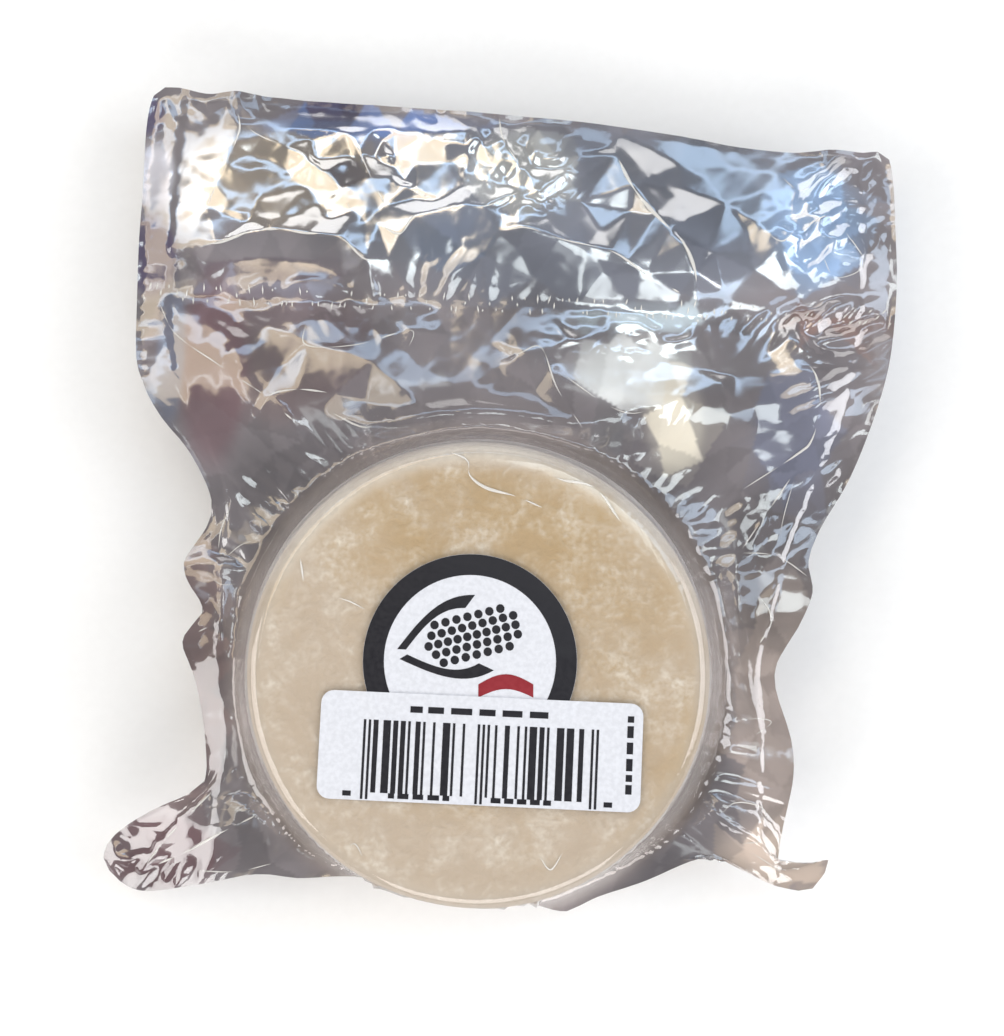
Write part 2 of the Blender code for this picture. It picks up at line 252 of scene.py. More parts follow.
# The labels
PAPER = 0.25
ROUND_AT = 0.5 * (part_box("round_label")[0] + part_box("round_label")[1]).xy / MM
ROUND_RADIUS = 0.5 * (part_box("round_label")[1].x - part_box("round_label")[0].x) / MM
ROUND_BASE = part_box("round_label")[0].z / MM
CODE_AT = 0.5 * (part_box("code_label")[0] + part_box("code_label")[1]).xy / MM
CODE_SIZE = (76.2, 25.4)
CODE_CORNER = 3.0
CODE_TURN = math.radians(-2.6)
CODE_STEP_UP = 2.4  # how far the upper label takes to climb onto the lower one
RING_WIDTH = 5.0
INK = 0.05
LABEL_STEP = 1.2
PAPER_FINISH = (0.45, 0.3)  # how rough the paper is, and its coat; then the same of the two inks
INK_FINISH = (0.4, 0.4)
ACCENT_FINISH = (0.4, 0.3)

# The made-up bar pattern
BARS_WIDE = 55.6
BAR_MODULES = 95
BAR_TOP = 6.2  # above the middle of the label
BAR_LENGTH = 17.0
GUARD_EXTRA = 1.6

# The camera and the room
CAMERA_AT = (5.7, 5.9, 399.9)
CAMERA_TILT = math.radians(5.0)
CAMERA_LENS = 51.43
NEAREST_SEEN = 0.01  # metres
FLOOR_SIZE = 6  # metres
ROOM_COLOUR = (0.5, 0.5, 0.53, 1.0)
PANELS = [
    # name, place, size, brightness and colour of each light panel, which faces the pack
    ("warm_panel", (-430, 450, 1000), (720, 360), 1.95, (1.0, 0.82, 0.56)),
    ("blue_strip", (-150, 720, 1000), (1100, 120), 2.0, (0.55, 0.75, 1.0)),
    ("white_strip", (-400, 258, 1000), (560, 20), 2.6, (0.80, 0.90, 1.0)),
    ("bright_panel", (150, 235, 1000), (210, 240), 3.4, (0.92, 1.0, 1.0)),
    ("cool_panel", (520, 330, 1000), (260, 460), 2.4, (0.66, 0.82, 1.0)),
    ("left_key", (-1050, -300, 620), (1000, 900), 3.5, (1.0, 0.98, 0.95)),
    ("right_key", (1100, 50, 620), (1000, 900), 3.5, (0.97, 0.98, 1.0)),
    ("back_key", (0, 1150, 560), (1300, 500), 1.9, (1.0, 0.98, 0.95)),
    ("low_key", (100, -1150, 620), (1300, 700), 3.7, (1.0, 0.99, 0.97)),
]

# Where the top cake is more toasted: the share, the middle and the reach of each patch
TOASTED = [
    (0.26, (-6, 34), (44, 26)),
    (0.26, (34, 20), (26, 44)),
    (0.14, (12, 42), (26, 12)),
    (0.14, (46, -20), (14, 30)),
    (-0.2, (-40, -12), (30, 40)),
    (-0.2, (0, -46), (50, 18)),
    (-0.3, (0, 52), (50, 5)),
]

# The back film's painted colours: a dark painted shade as the base, and painted reflections of the room in
# patches, with the colour, its share, the middle and the reach of each patch
PAINTED_SHADE_BASE = (0.225, 0.205, 0.215)
PAINTED_REFLECTIONS = [
    ((0.20, 0.22, 0.27), 0.8, (30, 120), (90, 34)),
    ((0.38, 0.32, 0.25), 0.9, (-50, 130), (30, 18)),
    ((0.10, 0.08, 0.09), 0.9, (-36, 129), (8, 8)),
    ((0.16, 0.26, 0.52), 0.9, (-28, 144), (38, 5)),
    ((0.07, 0.06, 0.12), 0.9, (-40, 149), (16, 4)),
    ((0.48, 0.48, 0.46), 0.8, (12, 130), (18, 16)),
    ((0.18, 0.22, 0.30), 0.8, (-8, 112), (14, 9)),
    ((0.17, 0.19, 0.24), 0.8, (60, 124), (17, 22)),
    ((0.36, 0.50, 0.70), 0.9, (88, 116), (16, 22)),
    ((0.13, 0.10, 0.12), 0.7, (-50, 105), (34, 4)),
    ((0.50, 0.56, 0.70), 0.9, (-57, 99), (24, 3)),
    ((0.19, 0.15, 0.16), 0.9, (-56, 84), (40, 24)),
    ((0.22, 0.24, 0.33), 0.7, (80, 60), (14, 24)),
    ((0.76, 0.77, 0.76), 0.95, (40, 77), (21, 12)),
    ((0.84, 0.79, 0.69), 0.95, (50, 64), (10, 18)),
    ((0.28, 0.27, 0.28), 0.8, (33, 60), (9, 7)),
    ((0.60, 0.68, 0.72), 0.8, (42, 92), (24, 5)),
    ((0.40, 0.34, 0.31), 0.9, (76, -10), (18, 50)),
    ((0.50, 0.42, 0.36), 0.9, (74, -48), (20, 14)),
    ((0.25, 0.18, 0.175), 0.85, (-76, 0), (16, 52)),
    ((0.19, 0.11, 0.12), 0.85, (-80, -46), (22, 14)),
    ((0.28, 0.17, 0.14), 0.7, (92, 90), (20, 5)),
]
SMOOTH_PAINTED_REFLECTIONS = [
    # painted reflections where the film is smooth, along the left edge
    ((0.19, 0.15, 0.15), 0.7, (-50, 76), (18, 18)),
    ((0.20, 0.115, 0.13), 0.65, (-69, 78), (12, 34)),
    ((0.18, 0.20, 0.27), 0.7, (-80, 82), (5, 26)),
    ((0.11, 0.085, 0.17), 0.85, (-86, 108), (9, 14)),
    ((0.58, 0.58, 0.63), 0.9, (-86, 130), (7, 12)),
    ((0.09, 0.07, 0.15), 0.8, (-90, 147), (8, 8)),
]
PAINTED_FILM_FROM = 64.0  # the back film, with its painted colours, is fully opaque this far from the middle of the stack, and fades out at its side
PAINTED_WALL_LIGHT = (0.42, 0.355, 0.335)  # painted light beside the stack, in place of the light that comes back off its side
# How strongly the film mirrors: evenly, and more in these patches where its two layers lie together
EVEN_GLOSS = 0.07
GLOSSY = [
    (0.36, (-30, 126), (70, 28)),
    (0.26, (60, 120), (50, 30)),
    (0.26, (50, 84), (50, 18)),
    (0.10, (-30, 84), (50, 16)),
]
FACE_GLOSS = 0.012
SEAL_STEP = 0.1  # how far the side seals lie below the loose film beside them
HAZE = [
    (0.10, (104, 76), (8, 24)),
    (0.08, (-88, 128), (8, 22)),
]


def smooth_step(value, low, high):
    share = np.clip((value - low) / (high - low), 0.0, 1.0)
    return share * share * (3.0 - 2.0 * share)


# ---------------------------------------------------------------- the frame


def merged_copy(node):
    """A CAD node's mesh in millimetres with its loose triangles joined."""
    body = bmesh.new()
    body.from_mesh(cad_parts[node].data)
    bmesh.ops.scale(body, vec=Vector((1, 1, 1)) / MM, verts=body.verts)
    bmesh.ops.remove_doubles(body, verts=body.verts, dist=0.001)
    body.normal_update()
    return body


def rim_loop(body):
    """The line where the faces that look up meet those that don't, anticlockwise."""
    neighbours = {}
    for edge in body.edges:
        up = [face.normal.z > 0.02 for face in edge.link_faces]
        if len(up) == 2 and up[0] != up[1]:
            first, second = edge.verts
            neighbours.setdefault(first, []).append(second)
            neighbours.setdefault(second, []).append(first)
    start = next(iter(neighbours))
    loop, previous, current = [start], None, start
    while True:
        ahead = [vert for vert in neighbours[current] if vert is not previous]
        previous, current = current, ahead[0]
        if current is start:
            break
        loop.append(current)
    points = np.array([vert.co[:] for vert in loop])
    x, y = points[:, 0], points[:, 1]
    if np.sum(x * np.roll(y, -1) - np.roll(x, -1) * y) < 0:
        points = points[::-1]
    return points


def four_sides(loop):
    """The bottom, right, top and left stretches of the rim, each from one corner to the next."""
    x, y = loop[:, 0], loop[:, 1]
    corners = [np.argmin(x + y), np.argmax(x - y), np.argmax(x + y), np.argmax(y - x)]
    sides = []
    for start, end in zip(corners, corners[1:] + corners[:1]):
        steps = (end - start) % len(loop)
        sides.append(loop[(start + np.arange(steps + 1)) % len(loop)])
    return sides


def points_along(line, shares):
    lengths = np.linalg.norm(np.diff(line, axis=0), axis=1)
    travelled = np.concatenate([[0], np.cumsum(lengths)])
    return np.stack([np.interp(shares * travelled[-1], travelled, axis) for axis in line.T], axis=1)


# ---------------------------------------------------------------- the flat films


class FlatFilm:
    """One film laid out flat: points on a sheet, triangles, and the pairs that hold it in shape."""

    def __init__(self, width, length, step, rng):
        self.width, self.length, self.step = width, length, step
        rim = self.rim_points()
        self.rim_count = len(rim)
        loose = self.loose_points(rng)
        around = [(i, (i + 1) % len(rim)) for i in range(len(rim))]
        points = [Vector(point) for point in np.vstack([rim, loose])]
        flat, _, triangles, _, _, _ = geometry.delaunay_2d_cdt(points, around, [], 1, 1e-6)
        self.flat = np.array([point[:] for point in flat])
        self.triangles = np.array(triangles)
        self.count = len(self.flat)
        self.edges, self.folds = self.find_pairs()

    def fit_to(self, surface):
        """Give the film its lengths: those of a surface, one for each film, and the slack on top."""
        spare = spare_length(surface[:, 0])
        self.edge_groups = self.grouped(self.edges, surface, spare)
        self.fold_groups = self.grouped(self.folds, surface, spare)

    def rim_points(self):
        across = np.arange(round(self.width / self.step)) / round(self.width / self.step)
        up = np.arange(round(self.length / self.step)) / round(self.length / self.step)
        unit = np.vstack([
            np.stack([across, 0 * across], 1),
            np.stack([1 + 0 * up, up], 1),
            np.stack([1 - across, 1 + 0 * across], 1),
            np.stack([0 * up, 1 - up], 1),
        ])
        return unit * (self.width, self.length)

    def loose_points(self, rng):
        """Staggered rows of points, each a little out of place."""
        rows = round(self.length / (self.step * math.sqrt(3) / 2))
        across = np.arange(int(self.width / self.step) + 1)
        points = []
        for row in range(1, rows):
            x = (across + 0.5 * (row % 2) + 0.25) * self.step
            points.append(np.stack([x, np.full(len(x), row * self.length / rows)], 1))
        points = np.vstack(points)
        points += rng.normal(0, 0.16 * self.step, points.shape)
        margin = 0.6 * self.step
        inside = np.all((points > margin) & (points < np.array([self.width, self.length]) - margin), axis=1)
        return points[inside]

    def find_pairs(self):
        """The ends of each edge, and the two points that face each other across it."""
        across = {}
        for a, b, c in self.triangles.tolist():
            for i, j, opposite in ((a, b, c), (b, c, a), (c, a, b)):
                across.setdefault((min(i, j), max(i, j)), []).append(opposite)
        folds = [pair for pair in across.values() if len(pair) == 2]
        return np.array(list(across)), np.array(folds)

    def grouped(self, pairs, places, spare):
        """The pairs and the film's length between them, in groups in which no point comes twice."""
        used = [0] * self.count
        groups = []
        for a, b in pairs.tolist():
            free = ~(used[a] | used[b])
            group = free & -free
            used[a] |= group
            used[b] |= group
            groups.append(group.bit_length() - 1)
        groups = np.array(groups)
        lengths = np.linalg.norm(places[pairs[:, 0]] - places[pairs[:, 1]], axis=2)
        lengths *= 1 + 0.5 * (spare[pairs[:, 0]] + spare[pairs[:, 1]])[:, None]
        lengths = lengths.astype(np.float32)
        members = [np.nonzero(groups == group)[0] for group in range(groups.max() + 1)]
        return [(pairs[at, 0], pairs[at, 1], lengths[at]) for at in members]


def soft_blob(x, y, middle, reach):
    """1 at the middle of an oval patch, fading to 0 at its edge."""
    distance = np.hypot((x - middle[0]) / reach[0], (y - middle[1]) / reach[1])
    return 1 - smooth_step(distance, 0.35, 1.0)


def patched(base, patches, x, y):
    """A base with soft oval patches added to it, each with its amount, middle and reach."""
    total = np.zeros(len(x)) + base
    for amount, middle, reach in patches:
        total += amount * soft_blob(x, y, middle, reach)
    return total


def spare_length(plan):
    """How much longer the film is than the surface that it follows, by place, in uneven patches."""
    x, y = plan[:, 0], plan[:, 1]
    spare = patched(EVEN_SLACK, SLACK, x, y)
    rng = np.random.default_rng(SEED + 1)
    field = np.zeros(len(plan))
    waves = 40
    for _ in range(waves):
        turn, phase = rng.uniform(0, 2 * math.pi, 2)
        ahead = x * math.cos(turn) + y * math.sin(turn)
        field += np.sin(2 * math.pi * ahead / rng.uniform(14, 50) + phase)
    return spare * (1 + 0.8 * field / math.sqrt(waves / 2))


# ---------------------------------------------------------------- drawing the films down


def stretched_over(sides, film):
    """A first place for every flat point: the sheet stretched evenly between the four sides."""
    across = film.flat[:, 0] / film.width
    up = film.flat[:, 1] / film.length
    bottom, right, top, left = sides
    low, high = points_along(bottom, across), points_along(top, 1 - across)
    start, end = points_along(left, 1 - up), points_along(right, up)
    s, t = across[:, None], up[:, None]
    corners = (1 - s) * (1 - t) * bottom[0] + s * (1 - t) * right[0] + s * t * top[0] + (1 - s) * t * left[0]
    return (1 - t) * low + t * high + (1 - s) * start + s * end - corners


def neighbour_mean(film, values):
    """At each point, the mean over the points that share an edge with it."""
    first, second = film.edges.T
    total = np.bincount(first, values[second], film.count)
    total += np.bincount(second, values[first], film.count)
    return total / np.bincount(film.edges.ravel(), minlength=film.count)


def even_out(plan, film, rounds=150):
    """Each loose point moves to the middle of its neighbours."""
    for _ in range(rounds):
        for axis in (0, 1):
            plan[film.rim_count:, axis] = neighbour_mean(film, plan[:, axis])[film.rim_count:]


def frame_heights(tree, plan, first):
    """The frame's upper and lower surface at each point of a plan, from a given point on."""
    heights = np.stack([plan[:, 2], plan[:, 2]], 1)
    for i in range(first, len(plan)):
        over = tree.ray_cast(Vector((plan[i, 0], plan[i, 1], 200)), Vector((0, 0, -1)))[0]
        under = tree.ray_cast(Vector((plan[i, 0], plan[i, 1], -100)), Vector((0, 0, 1)))[0]
        if over is not None and under is not None:
            heights[i] = over.z, under.z
    return heights


def carried_over(places, film, finer):
    """The places of a coarse film's points, read off at the finer film's points."""
    tree = BVHTree.FromPolygons([(u, v, 0) for u, v in film.flat], film.triangles.tolist())
    nearest = [tree.find_nearest((u, v, 0))[2] for u, v in finer.flat]
    a, b, c = film.triangles[nearest].T
    origin, first, second = film.flat[a], film.flat[b] - film.flat[a], film.flat[c] - film.flat[a]
    offset = finer.flat - origin
    area = first[:, 0] * second[:, 1] - first[:, 1] * second[:, 0]
    share_b = ((offset[:, 0] * second[:, 1] - offset[:, 1] * second[:, 0]) / area)[:, None, None]
    share_c = ((first[:, 0] * offset[:, 1] - first[:, 1] * offset[:, 0]) / area)[:, None, None]
    return places[a] * (1 - share_b - share_c) + places[b] * share_b + places[c] * share_c


def wall_profile(x, y):
    """The share of the height that is left where the film bridges from the rim to its foot, and its slope."""
    out = np.hypot(x, y)
    tight = smooth_step(-y / np.maximum(out, 1e-6), 0.55, 0.95)
    gap = FOOT_GAP + (TIGHT_FOOT_GAP - FOOT_GAP) * tight
    beyond = out - CAKE_RADIUS
    place = np.clip(beyond / gap, 0, 1)
    on_edge = np.clip(1 + beyond / FACE_ROUNDING, 0, 1)
    share = np.where(beyond > 0, EDGE_SHARE * (1 - place) ** 2, 1 - (1 - EDGE_SHARE) * on_edge ** 3)
    slope = np.where(beyond > 0, 2 * EDGE_SHARE * (1 - place) / gap,
                     3 * (1 - EDGE_SHARE) * on_edge ** 2 / FACE_ROUNDING)
    return share, slope, out


def keep_off_stack(places):
    """Push each film out to the surface that the stack and the bridging film give it."""
    for side, sign, span in ((0, 1, STACK_HEIGHT - SEAM_HEIGHT), (1, -1, SEAM_HEIGHT)):
        x, y, z = places[:, side].T
        share, slope, out = wall_profile(x, y)
        depth = sign * (SEAM_HEIGHT + sign * span * share - z)
        depth = np.where(share > 0, np.maximum(depth, 0), 0)
        steep = span * slope
        push = depth / (1 + steep ** 2)
        places[:, side, 2] += sign * push
        places[:, side, 0] += push * steep * x / np.maximum(out, 1)
        places[:, side, 1] += push * steep * y / np.maximum(out, 1)
    on_face = np.hypot(places[:, 0, 0], places[:, 0, 1]) < CAKE_RADIUS - FACE_ROUNDING
    places[on_face, 0, 2] = np.minimum(places[on_face, 0, 2], STACK_HEIGHT + 0.12)


def hold_pairs(places, groups, firmness):
    """Bring each pair of points back towards the film's length between them."""
    for first, second, length in groups:
        gap = places[second] - places[first]
        distance = np.sqrt(np.einsum("nfk,nfk->nf", gap, gap)) + 1e-6
        gap *= (0.5 * firmness(distance, length))[..., None]
        places[first] += gap
        places[second] -= gap


def edge_firmness(distance, length):
    """Film hardly stretches, and gives a little when it is pushed together."""
    share = 1 - length / distance
    return np.where(share > 0, share, 0.6 * share)


def fold_firmness(distance, length):
    """Film resists a soft bend, and gives way once it is creased."""
    short = np.maximum(1 - distance / length, 0)
    return -0.25 * short / (1 + short / 0.04) * length / distance


def film_normals(places, triangles):
    a, b, c = (places[triangles[:, i]] for i in range(3))
    faces = np.cross(b - a, c - a)
    corners = triangles.T.ravel()
    normals = np.empty_like(places)
    for side in (0, 1):
        for axis in range(3):
            spread = np.tile(faces[:, side, axis], 3)
            normals[:, side, axis] = np.bincount(corners, spread, minlength=len(places))
    return normals / (np.linalg.norm(normals, axis=2, keepdims=True) + 1e-9)


def above_seal(x, y):
    """How far a point is above the middle of the heat seal, seen from above."""
    share = (x - SEAL_LEFT[0]) / (SEAL_RIGHT[0] - SEAL_LEFT[0])
    return y - SEAL_LEFT[1] - share * (SEAL_RIGHT[1] - SEAL_LEFT[1])


def zones_of(film, plan, side_seal):
    """Which points are fused to the other film, and which lie on the loose end."""
    across = film.flat[:, 0]
    above = above_seal(plan[:, 0], plan[:, 1])
    fused = (across < side_seal) | (across > film.width - side_seal) | (np.abs(above) < SEAL_WIDTH / 2)
    return fused, above > 0


def draw_down(places, film, rounds, vacuum, hold, jolt, middle, rim, zones, rng):
    """Draw the films down: pressed on by the air outside, held by their own length, kept off the stack."""
    fused, loose_end = zones
    fused = np.nonzero(fused)[0]
    strength = np.where(loose_end, 0.25, 1.0)[:, None, None] * vacuum * np.array([-1.0, 1.0])[None, :, None]
    strength = strength.astype(np.float32)
    gap = np.where(loose_end, 0.3, 0.15).astype(np.float32)
    held = middle[:, 1] > 0
    before = places.copy()
    for step in range(rounds):
        moved = (places - before) * np.float32(0.85)
        before = places.copy()
        places += moved
        if step % 3 == 0:
            normals = film_normals(places, film.triangles)
        places += strength * (1 - 0.8 * step / rounds) * normals
        hold_pairs(places, film.edge_groups, edge_firmness)
        hold_pairs(places, film.fold_groups, fold_firmness)
        places[fused] = places[fused].mean(axis=1, keepdims=True)
        squeezed = 0.5 * np.maximum(gap - places[:, 0, 2] + places[:, 1, 2], 0)
        squeezed[fused] = 0.04
        places[:, 0, 2] += squeezed
        places[:, 1, 2] -= squeezed
        keep_off_stack(places)
        places[:, 1, 2] = np.maximum(places[:, 1, 2], 0.0)
        places[held, :, 2] += hold * (middle[held, :1] - places[held, :, 2].mean(axis=1, keepdims=True))
        places[:film.rim_count] = rim[:, None]
        if jolt and step < 0.3 * rounds and step % 10 == 0:
            places[film.rim_count:, :, 2] += rng.normal(0, jolt, (film.count - film.rim_count, 1))
    return places


def wrapped_films(settings):
    """Both films drawn down round the stack: the finest flat film and the places of its points."""
    rng = np.random.default_rng(SEED)
    body = merged_copy("sealed_pouch")
    tree = BVHTree.FromBMesh(body)
    sides = four_sides(rim_loop(body))
    width, length = settings.film_width / MM, settings.film_length / MM
    film, places = None, None
    for step, rounds, vacuum, hold, jolt in DRAWING_DOWN:
        finer = FlatFilm(width, length, step, rng)
        plan = stretched_over(sides, finer)
        even_out(plan, finer)
        surface = np.stack([plan, plan], 1)
        surface[:, :, 2] = frame_heights(tree, plan, finer.rim_count)
        if places is None:
            places = surface.copy()
        else:
            places = carried_over(places, film, finer)
        heights = surface[:, :, 2]
        film = finer
        film.fit_to(surface)
        places = places.astype(np.float32)
        apart = heights[:, 0] - heights[:, 1]
        middle = np.stack([heights.mean(axis=1), apart < 5], 1).astype(np.float32)
        rim = plan[:finer.rim_count].astype(np.float32)
        zones = zones_of(film, plan, settings.side_seal_width / MM)
        places = draw_down(places, film, rounds, vacuum, hold, jolt, middle, rim, zones, rng)
    body.free()
    return film, places


# ---------------------------------------------------------------- creases


class CreaseNet:
    """A net of flat facets: the creases are its sides, with loose corners between them."""

    def __init__(self):
        rng = np.random.default_rng(SEED + 6)
        corners, heights, sides = [], [], []
        for height, _, path in CREASES:
            for start, end in zip(path, path[1:]):
                parts = max(1, round(math.dist(start, end) / CREASE_STEP))
                if start is path[0]:
                    corners.append(start)
                    heights.append(CREASE_ENDS * CREASE_SHARE * height)
                for part in range(1, parts + 1):
                    corners.append(tuple(a + (b - a) * part / parts for a, b in zip(start, end)))
                    heights.append(CREASE_SHARE * height * rng.uniform(0.7, 1.2))
                    sides.append((len(corners) - 2, len(corners) - 1))
            heights[-1] *= CREASE_ENDS
        taken = np.array(corners)
        rows = [(-110 + LOOSE_CORNERS * (i + 0.5 * (j % 2)), -70 + STAGGER * LOOSE_CORNERS * j)
                for j in range(31) for i in range(26)]
        for place in rows:
            place = np.array(place) + rng.normal(0, 0.28 * LOOSE_CORNERS, 2)
            if np.min(np.hypot(*(taken - place).T)) > 0.55 * LOOSE_CORNERS:
                stands_out = EVEN_FACETS + sum(share * soft_blob(*place, middle, reach)
                                               for share, middle, reach in FACETED)
                corners.append(tuple(place))
                heights.append(rng.normal(0, LOOSE_HEIGHT * stands_out))
        corners = [Vector(corner) for corner in corners]
        flat, _, faces, sources, _, _ = geometry.delaunay_2d_cdt(corners, sides, [], 0, 1e-4)
        net = [Vector((place.x, place.y, heights[source[0]] if source else 0.5))
               for place, source in zip(flat, sources)]
        self.tree = BVHTree.FromPolygons(net, faces)
        self.middles = np.array([[sum(net[i].x for i in face) / 3, sum(net[i].y for i in face) / 3]
                                 for face in faces])
        # painted light and shade, one for each facet
        self.painted_shades = rng.uniform(*PAINTED_FACET_SHADES, len(faces))

    def meet(self, x, y):
        """The height of the net at each point, and the facet it falls in."""
        heights, facets = np.zeros(len(x)), np.zeros(len(x), dtype=int)
        for i, place in enumerate(zip(x.tolist(), y.tolist())):
            hit, _, facet, _ = self.tree.ray_cast(Vector((*place, 50)), Vector((0, 0, -1)))
            if hit is not None:
                heights[i], facets[i] = hit.z, facet
        return heights, facets


def calmed(film, places):
    """The drawn-down films with the small waves between their creases taken out."""
    x, y = places[:, 0, 0], places[:, 0, 1]
    calm = np.zeros(len(x))
    for share, middle, reach in CALM:
        calm = np.maximum(calm, share * np.minimum(1, 2.2 * soft_blob(x, y, middle, reach)))
    calm *= smooth_step(np.hypot(x, y), CAKE_RADIUS + 3, CAKE_RADIUS + 12)
    level = places[:, :, 2].astype(float)
    edge = level[:film.rim_count].copy()
    for _ in range(CALM_ROUNDS):
        for side in (0, 1):
            level[:, side] = neighbour_mean(film, level[:, side])
        level[:film.rim_count] = edge
    gap = np.maximum(level[:, 0] - level[:, 1], 0.3)
    middle = 0.5 * (level[:, 0] + level[:, 1])
    level = np.stack([middle + gap / 2, middle - gap / 2], 1)
    level[:film.rim_count] = edge
    places[:, :, 2] += calm[:, None] * (level - places[:, :, 2])
    return places


def lattice_noise(x, y, cell, rng):
    """Smooth noise from -1 to 1 that changes over about one cell."""
    size = 128
    turns = rng.uniform(0, 2 * math.pi, (size, size))
    column, row = np.floor(x / cell).astype(int), np.floor(y / cell).astype(int)
    across, up = x / cell - column, y / cell - row
    total = np.zeros(len(x))
    for dx in (0, 1):
        for dy in (0, 1):
            turn = turns[(column + dx) % size, (row + dy) % size]
            slope = np.cos(turn) * (across - dx) + np.sin(turn) * (up - dy)
            share_x = smooth_step(1 - np.abs(across - dx), 0, 1)
            share_y = smooth_step(1 - np.abs(up - dy), 0, 1)
            total += slope * share_x * share_y
    return 1.5 * total


def crumpled_relief(x, y):
    """Fine crumpling: sharp crests along random curves, in two sizes, most of it in the CRUMPLED patches."""
    rng = np.random.default_rng(SEED + 2)
    amount = patched(EVEN_CRUMPLE, CRUMPLED, x, y)
    relief = np.zeros(len(x))
    for cell, height in CRUMPLE_SIZES:
        warp = 0.5 * cell * lattice_noise(x, y, 1.7 * cell, rng)
        crest = 1 - np.minimum(np.abs(lattice_noise(x + warp, y - warp, cell, rng)) / 0.5, 1)
        relief += height * crest
    return amount * relief


def split_finer(film, places):
    """Every triangle becomes four: the flat points, the places and the triangles."""
    edges = film.edges
    keys = edges[:, 0] * film.count + edges[:, 1]
    order = np.argsort(keys)
    corners = film.triangles
    middles = []
    for i, j in ((0, 1), (1, 2), (2, 0)):
        low = np.minimum(corners[:, i], corners[:, j])
        high = np.maximum(corners[:, i], corners[:, j])
        found = order[np.searchsorted(keys[order], low * film.count + high)]
        middles.append(film.count + found)
    a, b, c = corners.T
    ab, bc, ca = middles
    parts = ((a, ab, ca), (b, bc, ab), (c, ca, bc), (ab, bc, ca))
    triangles = np.vstack([np.stack(part, 1) for part in parts])
    flat = np.vstack([film.flat, 0.5 * (film.flat[edges[:, 0]] + film.flat[edges[:, 1]])])
    places = np.concatenate([places, 0.5 * (places[edges[:, 0]] + places[edges[:, 1]])])
    return flat, places, triangles


def crease_films(net, places, triangles, sealed):
    """Add the facets and the crumpling to both films: less in the side seals, and none on the taut face."""
    normals = film_normals(places, triangles)
    x, y = places[:, 0, 0].astype(float), places[:, 0, 1].astype(float)
    out = np.hypot(x, y)
    clear_of_stack = smooth_step(out, CAKE_RADIUS + 1, CAKE_RADIUS + 7)
    on_wall = smooth_step(out, CAKE_RADIUS - 4, CAKE_RADIUS) * (1 - clear_of_stack)
    heights, facets = net.meet(x, y)
    relief = (heights + crumpled_relief(x, y)) * (1 - 0.9 * sealed) - SEAL_STEP * sealed
    lift = relief * (clear_of_stack + 0.5 * on_wall)
    up = np.sign(normals[:, :1, 2:]) * normals[:, :1]
    together = clear_of_stack[:, None]
    places[:, 0] += lift[:, None] * up[:, 0]
    places[:, 1] += (lift[:, None] * up[:, 0]) * together
    return places, facets


# ---------------------------------------------------------------- meshes


def smooth_piece(name, points, faces, material):
    """A smooth mesh from points in millimetres, at its place in the frame."""
    mesh = bpy.data.meshes.new(name)
    mesh.from_pydata((points * MM).tolist(), [], faces)
    mesh.shade_smooth()
    mesh.materials.append(material)
    piece = bpy.data.objects.new(name, mesh)
    bpy.context.scene.collection.objects.link(piece)
    return piece


def settle(piece):
    """Ride on the frame, once the mesh is final."""
    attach(piece, "root")
    return piece


def make_film(name, points, triangles, material, flat):
    """One film, with the places of its points on the flat sheet as the UV map 'roll'."""
    piece = smooth_piece(name, points, triangles.tolist(), material)
    layer = piece.data.uv_layers.new(name="roll")
    corners = np.empty(len(piece.data.loops), dtype=np.int32)
    piece.data.loops.foreach_get("vertex_index", corners)
    layer.data.foreach_set("uv", (flat[corners] * MM).astype(np.float32).ravel())
    return settle(piece)


def add_attribute(piece, name, values):
    kind = "FLOAT_COLOR" if values.ndim == 2 else "FLOAT"
    layer = piece.data.attributes.new(name, kind, "POINT")
    if values.ndim == 2:
        values = np.hstack([values, np.ones((len(values), 1))])
    layer.data.foreach_set("color" if kind == "FLOAT_COLOR" else "value", values.astype(np.float32).ravel())


def smooth_line(path, step):
    """Points about a step apart along a smooth curve through given points."""
    corners = [Vector(point) for point in path]
    corners = [2 * corners[0] - corners[1]] + corners + [2 * corners[-1] - corners[-2]]
    line = []
    for before, start, end, after in zip(corners, corners[1:], corners[2:], corners[3:]):
        parts = max(1, round((end - start).length / step))
        for part in range(parts):
            t = part / parts
            line.append(0.5 * (2 * start + (end - before) * t
                               + (2 * before - 5 * start + 4 * end - after) * t ** 2
                               + (3 * start - before - 3 * end + after) * t ** 3))
    return line + [corners[-2]]


def surface_tree(points, triangles):
    return BVHTree.FromPolygons(points.tolist(), triangles.tolist())


def laid_on(tree, line, lift):
    """A line seen from above, dropped onto a surface and raised a little off it."""
    laid = []
    for point in line:
        hit, normal, _, _ = tree.ray_cast(Vector((point.x, point.y, 200)), Vector((0, 0, -1)))
        if hit is not None:
            laid.append(hit + lift * (normal if normal.z > 0 else -normal))
    return laid


# ---------------------------------------------------------------- Geometry Nodes


